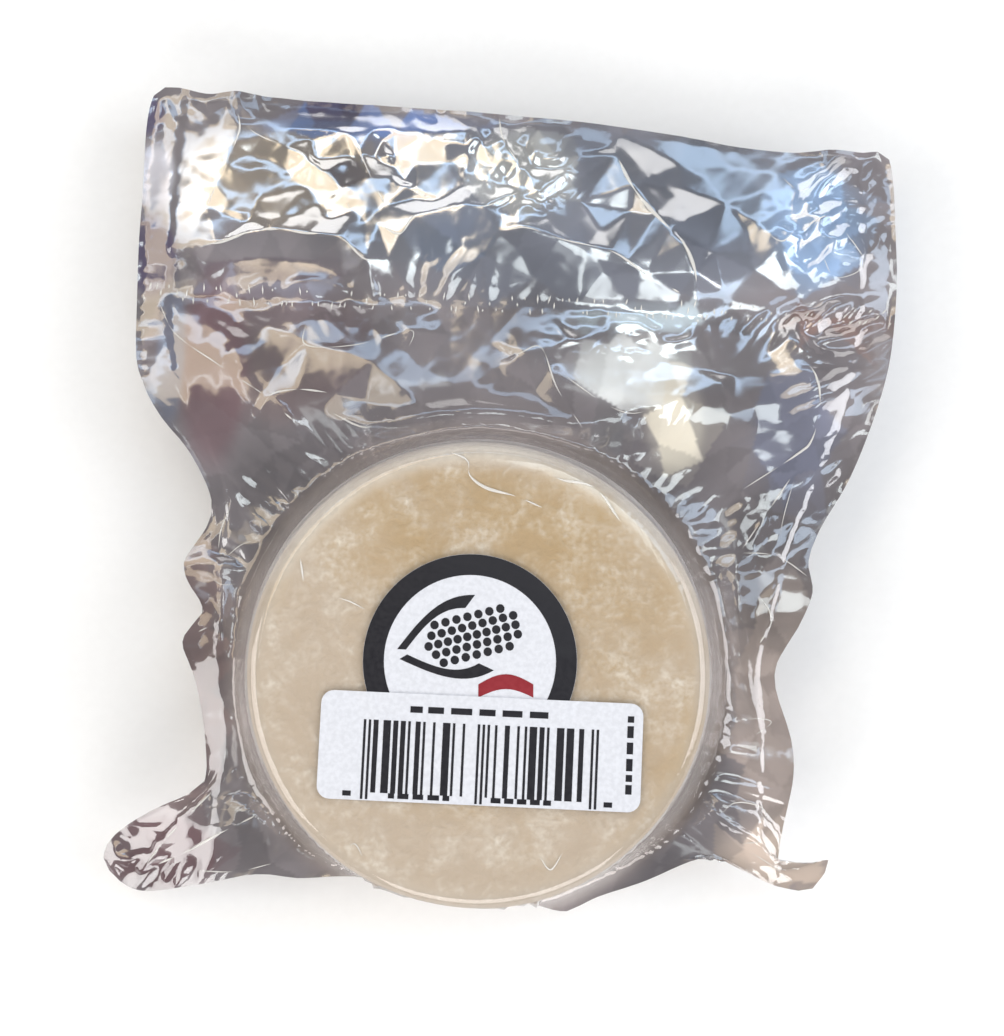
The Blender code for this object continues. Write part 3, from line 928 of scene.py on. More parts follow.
class TreeMaker:
    """A Geometry Nodes tree under construction, which ends in real geometry with one material."""

    def __init__(self, name, inputs):
        self.tree = bpy.data.node_groups.new(name, "GeometryNodeTree")
        face = self.tree.interface
        face.new_socket("Geometry", in_out="INPUT", socket_type="NodeSocketGeometry")
        self.identifiers = {}
        for label, kind in inputs.items():
            socket = face.new_socket(label, in_out="INPUT", socket_type=kind)
            self.identifiers[label] = socket.identifier
        face.new_socket("Geometry", in_out="OUTPUT", socket_type="NodeSocketGeometry")
        self.start = self.add("NodeGroupInput")

    def add(self, kind, **values):
        node = self.tree.nodes.new(kind)
        for name, value in values.items():
            setattr(node, name, value)
        return node

    def link(self, source, target):
        self.tree.links.new(source, target)

    def finish(self, geometry_socket):
        """Make instances real, set the material and put the result out."""
        real = self.add("GeometryNodeRealizeInstances")
        paint = self.add("GeometryNodeSetMaterial")
        end = self.add("NodeGroupOutput")
        self.link(geometry_socket, real.inputs["Geometry"])
        self.link(real.outputs["Geometry"], paint.inputs["Geometry"])
        self.link(self.start.outputs["Material"], paint.inputs["Material"])
        self.link(paint.outputs["Geometry"], end.inputs["Geometry"])
        return self.tree


def apply_tree(name, mesh, maker, tree, values):
    """Run a tree on a mesh and keep what it makes as a plain piece."""
    source = bpy.data.objects.new(name + "_source", mesh)
    bpy.context.scene.collection.objects.link(source)
    modifier = source.modifiers.new("tree", "NODES")
    modifier.node_group = tree
    for label, value in values.items():
        modifier[maker.identifiers[label]] = value
    source.data.update()
    bpy.context.view_layer.update()
    evaluated = source.evaluated_get(bpy.context.evaluated_depsgraph_get())
    result = bpy.data.meshes.new_from_object(evaluated)
    source.modifiers.remove(modifier)
    bpy.data.objects.remove(source)
    result.name = name
    if not result.materials:
        result.materials.append(values["Material"])
    piece = bpy.data.objects.new(name, result)
    bpy.context.scene.collection.objects.link(piece)
    return piece


def ridge_tree():
    """Low, wide ridges along lines: a flattened round, whose size at each point is the attribute 'size'."""
    maker = TreeMaker("crease_ridges", {"Width": "NodeSocketFloat", "Flatness": "NodeSocketFloat",
                                        "Sides": "NodeSocketInt", "Material": "NodeSocketMaterial"})
    curve = maker.add("GeometryNodeMeshToCurve")
    size = maker.add("GeometryNodeInputNamedAttribute", data_type="FLOAT")
    size.inputs["Name"].default_value = "size"
    profile = maker.add("GeometryNodeCurvePrimitiveCircle")
    scale = maker.add("ShaderNodeMath", operation="MULTIPLY")
    level = maker.add("GeometryNodeSetCurveNormal", mode="Z_UP")
    flatten = maker.add("ShaderNodeCombineXYZ")
    flatten.inputs["X"].default_value = 1.0
    flatten.inputs["Z"].default_value = 1.0
    press = maker.add("GeometryNodeTransform")
    tube = maker.add("GeometryNodeCurveToMesh")
    tube.inputs["Fill Caps"].default_value = True
    smooth = maker.add("GeometryNodeSetShadeSmooth")
    scale.inputs[1].default_value = 0.5
    maker.link(maker.start.outputs["Geometry"], curve.inputs["Mesh"])
    maker.link(curve.outputs["Curve"], level.inputs["Curve"])
    maker.link(size.outputs["Attribute"], tube.inputs["Scale"])
    maker.link(maker.start.outputs["Width"], scale.inputs[0])
    maker.link(scale.outputs[0], profile.inputs["Radius"])
    maker.link(maker.start.outputs["Sides"], profile.inputs["Resolution"])
    maker.link(level.outputs["Curve"], tube.inputs["Curve"])
    maker.link(maker.start.outputs["Flatness"], flatten.inputs["Y"])
    maker.link(profile.outputs["Curve"], press.inputs["Geometry"])
    maker.link(flatten.outputs["Vector"], press.inputs["Scale"])
    maker.link(press.outputs["Geometry"], tube.inputs["Profile Curve"])
    maker.link(tube.outputs["Mesh"], smooth.inputs["Geometry"])
    return maker, maker.finish(smooth.outputs["Geometry"])


def stamp_tree():
    """Thin blocks stamped on points: each takes its length and width from 'size' and its turn from 'turn'."""
    maker = TreeMaker("print_stamps", {"Thickness": "NodeSocketFloat", "Cuts": "NodeSocketInt",
                                       "Material": "NodeSocketMaterial"})
    block = maker.add("GeometryNodeMeshCube")
    corner = maker.add("ShaderNodeCombineXYZ")
    corner.inputs["X"].default_value = 1.0
    corner.inputs["Y"].default_value = 1.0
    size = maker.add("GeometryNodeInputNamedAttribute", data_type="FLOAT_VECTOR")
    size.inputs["Name"].default_value = "size"
    turn = maker.add("GeometryNodeInputNamedAttribute", data_type="FLOAT_VECTOR")
    turn.inputs["Name"].default_value = "turn"
    stamp = maker.add("GeometryNodeInstanceOnPoints")
    maker.link(maker.start.outputs["Thickness"], corner.inputs["Z"])
    maker.link(corner.outputs["Vector"], block.inputs["Size"])
    maker.link(maker.start.outputs["Cuts"], block.inputs["Vertices Y"])
    maker.link(maker.start.outputs["Geometry"], stamp.inputs["Points"])
    maker.link(block.outputs["Mesh"], stamp.inputs["Instance"])
    maker.link(size.outputs["Attribute"], stamp.inputs["Scale"])
    maker.link(turn.outputs["Attribute"], stamp.inputs["Rotation"])
    return maker, maker.finish(stamp.outputs["Instances"])


def lines_mesh(name, lines, widths):
    """Open lines of points as one mesh of edges, with a size at each point that tapers to both ends."""
    points, edges, sizes = [], [], []
    for line, width in zip(lines, widths):
        first, last = len(points), len(line) - 1
        points += [point * MM for point in line]
        edges += [(first + i, first + i + 1) for i in range(last)]
        sizes += [width * (0.05 + 0.95 * math.sin(math.pi * i / last)) for i in range(last + 1)]
    mesh = bpy.data.meshes.new(name)
    mesh.from_pydata([point[:] for point in points], edges, [])
    layer = mesh.attributes.new("size", "FLOAT", "POINT")
    layer.data.foreach_set("value", np.array(sizes, dtype=np.float32))
    return mesh


def points_mesh(name, places, sizes, turns):
    """Loose points with a size and a turn each, in metres and radians."""
    mesh = bpy.data.meshes.new(name)
    mesh.from_pydata([tuple(place) for place in places], [], [])
    for label, values in (("size", sizes), ("turn", turns)):
        layer = mesh.attributes.new(label, "FLOAT_VECTOR", "POINT")
        layer.data.foreach_set("vector", np.array(values, dtype=np.float32).ravel())
    return mesh


# ---------------------------------------------------------------- materials


def mottle_group():
    """Fine mottling for dough, paper, film and floor: it darkens and lightens a colour in small flecks, and
    gives the flecks as a mask and as a height."""
    group = bpy.data.node_groups.get("mottle")
    if group is not None:
        return group
    group = bpy.data.node_groups.new("mottle", "ShaderNodeTree")
    sockets = [("INPUT", "Place", "Vector"), ("INPUT", "Color", "Color")]
    sockets += [("INPUT", name, "Float") for name in ("Scale", "Detail", "Darkest", "Lightest")]
    sockets += [("OUTPUT", "Color", "Color"), ("OUTPUT", "Mask", "Float"), ("OUTPUT", "Height", "Float")]
    for way, name, kind in sockets:
        group.interface.new_socket(name, in_out=way, socket_type="NodeSocket" + kind)
    start = group.nodes.new("NodeGroupInput")
    end = group.nodes.new("NodeGroupOutput")
    noise = group.nodes.new("ShaderNodeTexNoise")
    mask = group.nodes.new("ShaderNodeMapRange")
    mask.interpolation_type = "SMOOTHSTEP"
    mask.inputs["From Min"].default_value = 0.3
    mask.inputs["From Max"].default_value = 0.7
    shade = group.nodes.new("ShaderNodeMapRange")
    tone = group.nodes.new("ShaderNodeVectorMath")
    tone.operation = "SCALE"
    for source, target in ((start.outputs["Place"], noise.inputs["Vector"]),
                           (start.outputs["Scale"], noise.inputs["Scale"]),
                           (start.outputs["Detail"], noise.inputs["Detail"]),
                           (noise.outputs["Fac"], mask.inputs["Value"]),
                           (mask.outputs["Result"], shade.inputs["Value"]),
                           (start.outputs["Darkest"], shade.inputs["To Min"]),
                           (start.outputs["Lightest"], shade.inputs["To Max"]),
                           (start.outputs["Color"], tone.inputs["Vector"]),
                           (shade.outputs["Result"], tone.inputs["Scale"]),
                           (tone.outputs["Vector"], end.inputs["Color"]),
                           (mask.outputs["Result"], end.inputs["Mask"]),
                           (noise.outputs["Fac"], end.inputs["Height"])):
        group.links.new(source, target)
    return group


class Paint:
    """A material under construction."""

    def __init__(self, name):
        self.material = bpy.data.materials.new(name)
        self.material.use_nodes = True
        self.nodes = self.material.node_tree.nodes
        self.links = self.material.node_tree.links
        self.shader = self.nodes["Principled BSDF"]
        self.output = self.nodes["Material Output"]

    def add(self, kind, **values):
        node = self.nodes.new(kind)
        for name, value in values.items():
            setattr(node, name, value)
        return node

    def link(self, source, target):
        self.links.new(source, target)

    def feed(self, value, socket):
        """Set a socket to a value, or link to it what another node puts out."""
        if isinstance(value, bpy.types.NodeSocket):
            self.links.new(value, socket)
        else:
            socket.default_value = value

    def cover(self, share):
        """Let what lies behind show through, but for this share of the shader."""
        cover = self.add("ShaderNodeMixShader")
        self.feed(share, cover.inputs[0])
        self.link(self.add("ShaderNodeBsdfTransparent").outputs["BSDF"], cover.inputs[1])
        self.link(self.shader.outputs["BSDF"], cover.inputs[2])
        self.link(cover.outputs["Shader"], self.output.inputs["Surface"])

    def attribute(self, name):
        return self.add("ShaderNodeAttribute", attribute_name=name)

    def noise(self, coordinates, scale, detail=4.0, roughness=0.55, distortion=0.0):
        node = self.add("ShaderNodeTexNoise")
        node.inputs["Scale"].default_value = scale
        node.inputs["Detail"].default_value = detail
        node.inputs["Roughness"].default_value = roughness
        node.inputs["Distortion"].default_value = distortion
        self.link(coordinates, node.inputs["Vector"])
        return node.outputs["Fac"]

    def mottle(self, place, colour, scale, detail, darkest, lightest):
        node = self.add("ShaderNodeGroup", node_tree=mottle_group())
        self.link(place, node.inputs["Place"])
        self.feed(colour, node.inputs["Color"])
        values = {"Scale": scale, "Detail": detail, "Darkest": darkest, "Lightest": lightest}
        for name, value in values.items():
            node.inputs[name].default_value = value
        return node.outputs

    def range(self, value, low, high, to_low=0.0, to_high=1.0):
        node = self.add("ShaderNodeMapRange", interpolation_type="SMOOTHSTEP")
        node.inputs["From Min"].default_value = low
        node.inputs["From Max"].default_value = high
        node.inputs["To Min"].default_value = to_low
        node.inputs["To Max"].default_value = to_high
        self.link(value, node.inputs["Value"])
        return node.outputs["Result"]

    def maths(self, operation, *values, clamp=False):
        node = self.add("ShaderNodeMath", operation=operation, use_clamp=clamp)
        for socket, value in zip(node.inputs, values):
            self.feed(value, socket)
        return node.outputs["Value"]

    def mix(self, share, first, second, blend="MIX"):
        node = self.add("ShaderNodeMix", data_type="RGBA", blend_type=blend)
        self.feed(share, node.inputs["Factor"])
        self.feed(first, node.inputs[6])
        self.feed(second, node.inputs[7])
        return node.outputs[2]

    def bump(self, height, strength, distance, normal=None):
        node = self.add("ShaderNodeBump")
        node.inputs["Strength"].default_value = strength
        node.inputs["Distance"].default_value = distance
        self.link(height, node.inputs["Height"])
        if normal is not None:
            self.link(normal, node.inputs["Normal"])
        return node.outputs["Normal"]


def rgba(colour):
    return (*colour[:3], 1.0)


def clear_film_material(settings):
    """Clear film: what shines back off it, a little haze where it is sealed or folded, and a painted light
    sheen over the far half of the stack's rim.
    """
    paint = Paint("clear_film")
    haze_and_sheen = paint.attribute("haze_and_sheen").outputs["Fac"]
    gloss = paint.attribute("gloss").outputs["Fac"]
    fresnel = paint.add("ShaderNodeFresnel")
    fresnel.inputs["IOR"].default_value = 1.5
    shine = paint.maths("MULTIPLY_ADD", fresnel.outputs["Fac"], settings.film_shine, gloss)
    shader = paint.shader
    paint.link(paint.mix(paint.range(haze_and_sheen, 0.0, 0.1), (0.95, 0.96, 0.98, 1.0), rgba(settings.haze_and_sheen_colour)),
               shader.inputs["Base Color"])
    blur = paint.maths("MAXIMUM", paint.range(gloss, 0.02, 0.2, 0.07, 0.13),
                       paint.range(haze_and_sheen, 0.05, 0.2, 0.0, 0.32))
    paint.link(blur, shader.inputs["Roughness"])
    paint.link(paint.range(haze_and_sheen, 0.0, 0.2, 1.0, 0.3), shader.inputs["Metallic"])
    paint.cover(paint.maths("ADD", shine, haze_and_sheen, clamp=True))
    return paint.material


def painted_film_material(name, veil=None):
    """The back film, coloured with painted shade and painted reflections where clear film would look dim with
    little light from behind it. It lets the stack show where the attribute named as the veil is low."""
    paint = Paint(name)
    painted_light = paint.attribute("painted_light").outputs["Color"]
    coordinates = paint.add("ShaderNodeUVMap", uv_map="roll").outputs["UV"]
    clouded = paint.mottle(coordinates, painted_light, 28.0, 1.0, 0.75, 1.25)
    paint.link(clouded["Color"], paint.shader.inputs["Base Color"])
    paint.shader.inputs["Roughness"].default_value = 0.12
    paint.shader.inputs["Specular IOR Level"].default_value = 0.8
    if veil:
        paint.link(paint.attribute(veil).outputs["Fac"], paint.shader.inputs["Alpha"])
    return paint.material


def painted_highlight_material():
    """A painted highlight: the sharp edge of a crease or crimp, near-white where it would catch the light."""
    paint = Paint("painted_crease_highlight")
    paint.shader.inputs["Base Color"].default_value = (0.93, 0.91, 0.87, 1.0)
    paint.shader.inputs["Roughness"].default_value = 0.25
    paint.cover(RIDGE_COVER)
    return paint.material


def dough_material(settings):
    """Cooked corn dough: cream, with toasted patches, a light floury bloom and a coarse grain; the rim is
    lighter, partly with bloom and partly with painted sheen on its far half.
    """
    paint = Paint("corn_dough")
    place = paint.add("ShaderNodeTexCoord").outputs["Object"]
    broad = paint.noise(place, 38.0, 3.0, 0.6, 0.6)
    middling = paint.noise(place, 120.0, 3.0, 0.65, 0.4)
    flour = paint.mottle(place, rgba(settings.bloom_colour), 620.0, 2.0, 0.94, 1.03)
    toasted = paint.attribute("toast").outputs["Fac"]
    patches = paint.maths("MULTIPLY_ADD", broad, 0.9, toasted)
    colour = paint.mix(paint.range(patches, 0.25, 1.0), rgba(settings.dough_colour),
                       rgba(settings.toasted_colour))
    bloom = paint.maths("MULTIPLY", paint.range(middling, 0.35, 0.8),
                        paint.range(flour["Height"], 0.15, 0.85))
    # the rim: floury bloom all round, and painted sheen on its far half
    edge = paint.maths("MULTIPLY", paint.attribute("rim_bloom_and_sheen").outputs["Fac"],
                       paint.range(middling, 0.2, 0.6, 0.5, 1.0))
    colour = paint.mix(paint.maths("MAXIMUM", bloom, edge), colour, flour["Color"])
    paint.link(colour, paint.shader.inputs["Base Color"])
    paint.shader.inputs["Roughness"].default_value = 0.75
    relief = paint.maths("MULTIPLY_ADD", flour["Height"], 0.6, middling)
    paint.link(paint.bump(relief, 0.4, 0.001), paint.shader.inputs["Normal"])
    return paint.material


def paper_material(name, colour, roughness, coat):
    """Label paper or print: fibre-fine variation in colour and gloss, and a slight cockle."""
    paint = Paint(name)
    place = paint.add("ShaderNodeTexCoord").outputs["Object"]
    fibre = paint.mottle(place, rgba(colour), 900.0, 4.0, 0.9, 1.0)
    cockle = paint.noise(place, 45.0, 2.0)
    paint.link(fibre["Color"], paint.shader.inputs["Base Color"])
    gloss = paint.range(fibre["Mask"], 0, 1, roughness - 0.06, roughness + 0.06)
    paint.link(gloss, paint.shader.inputs["Roughness"])
    paint.shader.inputs["Coat Weight"].default_value = coat
    paint.shader.inputs["Coat Roughness"].default_value = 0.15
    paint.link(paint.bump(cockle, 0.3, 0.001), paint.shader.inputs["Normal"])
    return paint.material


def floor_material(settings):
    paint = Paint("pale_floor")
    place = paint.add("ShaderNodeTexCoord").outputs["Object"]
    speckle = paint.mottle(place, rgba(settings.floor_colour), 300.0, 3.0, 0.98, 1.0)
    paint.link(speckle["Color"], paint.shader.inputs["Base Color"])
    paint.shader.inputs["Roughness"].default_value = 0.8
    return paint.material


# ---------------------------------------------------------------- cakes


def cake_profile(thickness, radius, rounding, steps_in, steps_round):
    """The edge of a cake from the middle of its top to the middle of its underside."""
    flat = [(radius - rounding) * (i / steps_in) ** 0.8 for i in range(steps_in)]
    half = thickness / 2
    top = [(r, half) for r in flat]
    turns = [math.pi / 2 - math.pi * i / steps_round for i in range(steps_round + 1)]
    edge = [(radius - rounding + rounding * math.cos(turn), half * math.sin(turn)) for turn in turns]
    return top + edge + [(r, -half) for r in reversed(flat)]


def cake_points(index, settings, rng):
    """One cake: its uneven outline and its slightly rough faces."""
    fine = index == CAKE_COUNT - 1
    around, inward, rounded = (300, 90, 26) if fine else (120, 12, 12)
    thickness = CAKE_THICKNESS - 0.15
    radius = CAKE_RADIUS - 0.45 + (0 if fine else rng.uniform(-1.1, 0.0))
    profile = cake_profile(thickness, radius, settings.cake_rounding / MM, inward, rounded)
    offset = np.zeros(2) if fine else rng.normal(0, 0.4, 2)
    waves = [(k, rng.normal(0, 0.35 / k), rng.uniform(0, 2 * math.pi)) for k in range(2, 9)]
    turns = np.arange(around) * 2 * math.pi / around
    uneven = 1 + sum(size * np.cos(k * turns + phase) for k, size, phase in waves) / radius
    uneven = np.minimum(uneven, 1.004)
    points = [(0.0, 0.0, profile[0][1])]
    for r, z in profile[1:-1]:
        points += [(r * grow * math.cos(turn), r * grow * math.sin(turn), z)
                   for turn, grow in zip(turns, uneven)]
    points.append((0.0, 0.0, profile[-1][1]))
    points = np.array(points)
    x, y = points[:, 0] + 500 * index, points[:, 1]
    rough = 0.22 * lattice_noise(x, y, 13.0, rng) + 0.12 * lattice_noise(x, y, 4.0, rng)
    if fine:
        rough += 0.10 * lattice_noise(x, y, 1.5, rng)
    points[:, 2] -= np.sign(points[:, 2]) * np.abs(rough) * np.minimum(1, np.abs(points[:, 2]) / 2)
    points[:, :2] += offset
    points[:, 2] += (index + 0.5) * CAKE_THICKNESS
    return points, around


def ring_faces(rings, around):
    """The triangles and quads of a turned shape whose first and last points close its ends."""
    faces = []
    last = 1 + rings * around
    for i in range(around):
        j = (i + 1) % around
        faces.append((0, 1 + i, 1 + j))
        for ring in range(rings - 1):
            a, b = 1 + ring * around, 1 + (ring + 1) * around
            faces.append((a + i, b + i, b + j, a + j))
        a = 1 + (rings - 1) * around
        faces.append((a + j, a + i, last))
    return faces


def make_cake(index, settings, material, rng):
    points, around = cake_points(index, settings, rng)
    rings = (len(points) - 2) // around
    name = f"corn_cake_{index + 1}"
    piece = smooth_piece(name, points, ring_faces(rings, around), material)
    out = np.hypot(points[:, 0], points[:, 1])
    add_attribute(piece, "toast", patched(0.0, TOASTED, points[:, 0], points[:, 1]))
    # A lighter rim: some floury bloom all round, and painted sheen on the far half, where the rounding lies
    # in shade
    far = 0.25 + 0.75 * smooth_step(points[:, 1], 0, 40)
    add_attribute(piece, "rim_bloom_and_sheen", far * smooth_step(out, CAKE_RADIUS - 8, CAKE_RADIUS - 2))
    return settle(piece)


# ---------------------------------------------------------------- films


def blended(colours, base, x, y):
    """Soft patches of colour laid over one base colour, or over one for each point."""
    colour = np.zeros((len(x), 3)) + np.array(base)
    for painted_light, share, middle, reach in colours:
        amount = (share * smooth_step(soft_blob(x, y, middle, reach), 0.0, 0.75))[:, None]
        colour = colour * (1 - amount) + np.array(painted_light) * amount
    return colour


def painted_film_light(net, facets, x, y):
    """The back film's painted shade and reflections: each facet has a painted shade of its own, over soft
    changes from side to side, with painted light beside the stack.
    """
    by_facet = blended(PAINTED_REFLECTIONS, PAINTED_SHADE_BASE, *net.middles.T) * net.painted_shades[:, None]
    colour = 0.7 * by_facet[facets] + 0.3 * blended(PAINTED_REFLECTIONS, PAINTED_SHADE_BASE, x, y)
    colour = blended(SMOOTH_PAINTED_REFLECTIONS, colour, x, y)
    # painted light beside the stack
    beside = (0.9 * (1 - smooth_step(np.hypot(x, y), CAKE_RADIUS + 3, CAKE_RADIUS + 11)))[:, None]
    return colour * (1 - beside) + np.array(PAINTED_WALL_LIGHT) * beside


def make_films(settings):
    film, places = wrapped_films(settings)
    flat, places, triangles = split_finer(film, calmed(film, places))
    side_seal = settings.side_seal_width / MM
    from_side = np.minimum(flat[:, 0], film.width - flat[:, 0])
    sealed = 1 - smooth_step(from_side, side_seal - 0.8, side_seal + 0.4)
    net = CreaseNet()
    places, facets = crease_films(net, places, triangles, sealed)
    x, y = places[:, 0, 0].astype(float), places[:, 0, 1].astype(float)
    out = np.hypot(x, y)
    haze_and_sheen = 0.03 * sealed
    haze_and_sheen += 0.1 * (1 - smooth_step(np.abs(out - CAKE_RADIUS - 2), 3.0, 7.0))
    # painted sheen: over the far half of the stack's rim the film is made hazier and lighter
    upper = smooth_step(places[:, 0, 2], 36, 45)
    at_rim = 1 - smooth_step(np.abs(out - CAKE_RADIUS - 1.5), 2.0, 6.0)
    haze_and_sheen += 0.25 * at_rim * smooth_step(y, 5, 45) * upper
    haze_and_sheen = patched(haze_and_sheen, HAZE, x, y)
    gloss = np.full(len(x), EVEN_GLOSS)
    for share, middle, reach in GLOSSY:
        gloss = np.maximum(gloss, share * np.minimum(1, 2 * soft_blob(x, y, middle, reach)))
    gloss = FACE_GLOSS + (gloss - FACE_GLOSS) * smooth_step(out, CAKE_RADIUS - 1, CAKE_RADIUS + 6)
    front = make_film("film_front", places[:, 0], triangles, clear_film_material(settings), flat)
    add_attribute(front, "haze_and_sheen", haze_and_sheen)
    add_attribute(front, "gloss", gloss)
    front.visible_shadow = False  # simpler than real clear film, which throws a faint one
    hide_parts("sealed_pouch")
    back = make_film("film_back", places[:, 1], triangles[:, ::-1], painted_film_material("painted_light_film"), flat)
    back.data.materials.append(painted_film_material("clearing_film", "veil"))
    near_stack = (out[triangles].min(axis=1) < PAINTED_FILM_FROM).astype(np.int32)
    back.data.polygons.foreach_set("material_index", near_stack)
    add_attribute(back, "veil", 0.22 + 0.78 * smooth_step(out, CAKE_RADIUS + 1.5, PAINTED_FILM_FROM))
    # the back film's colour: painted shade and painted reflections of the room
    add_attribute(back, "painted_light", painted_film_light(net, facets, x, y))
    return surface_tree(places[:, 0], triangles)


def make_ridges(name, lines, widths, width, flatness):
    """One piece of bright ridges, white as painted highlights, along lines that lie on the front film."""
    mesh = lines_mesh(name + "_lines", lines, widths)
    maker, tree = ridge_tree()
    material = painted_highlight_material()
    values = {"Width": width * MM, "Flatness": flatness, "Sides": RIDGE_SIDES, "Material": material}
    return settle(apply_tree(name, mesh, maker, tree, values))


def make_crease_ridges(tree):
    """The painted glints along the sharpest creases: short bright ridges with gaps, laid on the front film.
    """
    rng = np.random.default_rng(SEED + 4)
    lines, widths = [], []
    for width, path in [(width, path) for _, width, path in CREASES if width] + FACE_CREASES:
        laid = laid_on(tree, smooth_line(path, 0.8), 0.0)
        first = rng.integers(0, 6)
        while first < len(laid) - 3:
            length = rng.integers(6, 20)
            lines.append(laid[first:first + length])
            widths.append(width * rng.uniform(0.35, 1.0))
            first += length + rng.integers(-2, 8)
    return make_ridges("film_creases", lines, widths, *GLINT)


def make_seal_ribs(tree, settings):
    """The crimps across the heat seal: short ridges across the band, white as painted highlights, some in a
    row at each of its edges.
    """
    rng = np.random.default_rng(SEED + 3)
    left, right = Vector(SEAL_LEFT), Vector(SEAL_RIGHT)
    along = (right - left).normalized()
    across = Vector((-along.y, along.x))
    lines = []
    length = (right - left).length
    steps = int(length / settings.crimp_spacing * MM)
    for i in range(steps):
        middle = left + along * (length * (i + 0.5 + rng.uniform(-0.3, 0.3)) / steps)
        lean = 0.9 * smooth_step(middle.x, 40, 100) + rng.normal(0, 0.15)
        reach = 0.5 * SEAL_WIDTH * rng.uniform(0.15, 0.6)
        middle = middle + across * SEAL_WIDTH * rng.choice([-0.42, -0.36, 0.0, 0.38])
        way = (across + along * lean).normalized() * reach
        lines.append([middle - way, middle, middle + way])
    laid = [laid_on(tree, line, 0.0) for line in lines]
    laid = [line for line in laid if len(line) > 2]
    return make_ridges("heat_seal", laid, [1.0] * len(laid), *CRIMP)


# ---------------------------------------------------------------- labels


def inside_loop(x, y, loop):
    inside = np.zeros(len(x), dtype=bool)
    for (ax, ay), (bx, by) in zip(loop, np.roll(loop, -1, axis=0)):
        crosses = (ay > y) != (by > y)
        at = ax + (y - ay) * (bx - ax) / np.where(by == ay, 1e-9, by - ay)
        inside ^= crosses & (at > x)
    return inside


def circle_loop(radius, steps, middle=(0.0, 0.0)):
    turns = np.arange(steps) * 2 * math.pi / steps
    return np.stack([middle[0] + radius * np.cos(turns), middle[1] + radius * np.sin(turns)], 1)


def rounded_box(width, height, corner, step):
    points = []
    for quarter, (sx, sy) in enumerate(((1, 1), (-1, 1), (-1, -1), (1, -1))):
        middle = np.array([sx * (width / 2 - corner), sy * (height / 2 - corner)])
        for i in range(7):
            turn = math.pi / 2 * (quarter + i / 6)
            points.append(middle + corner * np.array([math.cos(turn), math.sin(turn)]))
    loop = []
    for start, end in zip(points, points[1:] + points[:1]):
        parts = max(1, round(float(np.linalg.norm(end - start)) / step))
        loop += [start + (end - start) * i / parts for i in range(parts)]
    return np.array(loop)


def thin_plate(loops, step, low, thickness):
    """A thin closed sheet inside the first loop and outside the others: its points and faces."""
    outline = np.vstack(loops)
    edges, first = [], 0
    for loop in loops:
        edges += [(first + i, first + (i + 1) % len(loop)) for i in range(len(loop))]
        first += len(loop)
    least, most = loops[0].min(axis=0), loops[0].max(axis=0)
    rows = int((most[1] - least[1]) / (step * STAGGER)) + 1
    columns = int((most[0] - least[0]) / step) + 2
    grid = np.array([(least[0] + (c + 0.5 * (r % 2)) * step, least[1] + r * step * STAGGER)
                     for r in range(rows) for c in range(columns)])
    keep = inside_loop(grid[:, 0], grid[:, 1], loops[0])
    for loop in loops[1:]:
        keep &= ~inside_loop(grid[:, 0], grid[:, 1], loop)
    grid = grid[keep]
    gap = np.array([np.min(np.hypot(*(outline - point).T)) for point in grid])
    grid = grid[gap > 0.45 * step]
    places = [Vector(point) for point in np.vstack([outline, grid])]
    flat, _, faces, _, _, _ = geometry.delaunay_2d_cdt(places, edges, [], 1, 1e-6)
    flat, faces = np.array([p[:] for p in flat]), np.array(faces)
    middles = flat[faces].mean(axis=1)
    keep = inside_loop(middles[:, 0], middles[:, 1], loops[0])
    for loop in loops[1:]:
        keep &= ~inside_loop(middles[:, 0], middles[:, 1], loop)
    faces = faces[keep]
    count = len(flat)
    heights = low(flat[:, 0], flat[:, 1])
    bottom = np.column_stack([flat, heights])
    top = np.column_stack([flat, heights + thickness])
    sides = []
    for a, b in edges:
        sides += [(a, b, b + count), (a, b + count, a + count)]
    return np.vstack([bottom, top]), np.vstack([faces[:, ::-1], faces + count, sides])


def round_low(x, y):
    """The underside of the round label: slight waves, with one crease across."""
    wave = 0.05 * np.sin(x / 9.0) * np.cos(y / 11.0 + 0.6)
    crease = 0.06 * np.maximum(1 - np.abs(y - ROUND_AT.y - 1.5 + 0.02 * x) / 2.5, 0)
    return ROUND_BASE + 0.06 + wave + crease


def code_low(x, y):
    """The underside of the bar label: on the film, and up over the round label."""
    gap = np.hypot(x - ROUND_AT.x, y - ROUND_AT.y) - ROUND_RADIUS
    climb = 1 - smooth_step(gap, 0.1, CODE_STEP_UP)
    return round_low(x, y) - 0.02 + climb * (PAPER + 0.05)


def turned(points, turn, middle):
    cos, sin = math.cos(turn), math.sin(turn)
    x, y = points[:, 0], points[:, 1]
    return np.stack([middle[0] + cos * x - sin * y, middle[1] + sin * x + cos * y], 1)


def joined(parts):
    """Several sets of points and faces as one."""
    points, faces, first = [], [], 0
    for some_points, some_faces in parts:
        points.append(some_points)
        faces += [tuple(int(i) + first for i in face) for face in some_faces]
        first += len(some_points)
    return np.vstack(points), faces


def make_plates(name, parts, material):
    """One piece from several thin plates, smooth but for its sharp edges."""
    points, faces = joined(parts)
    piece = smooth_piece(name, points, faces, material)
    piece.data.set_sharp_from_angle(angle=math.radians(40))
    return settle(piece)


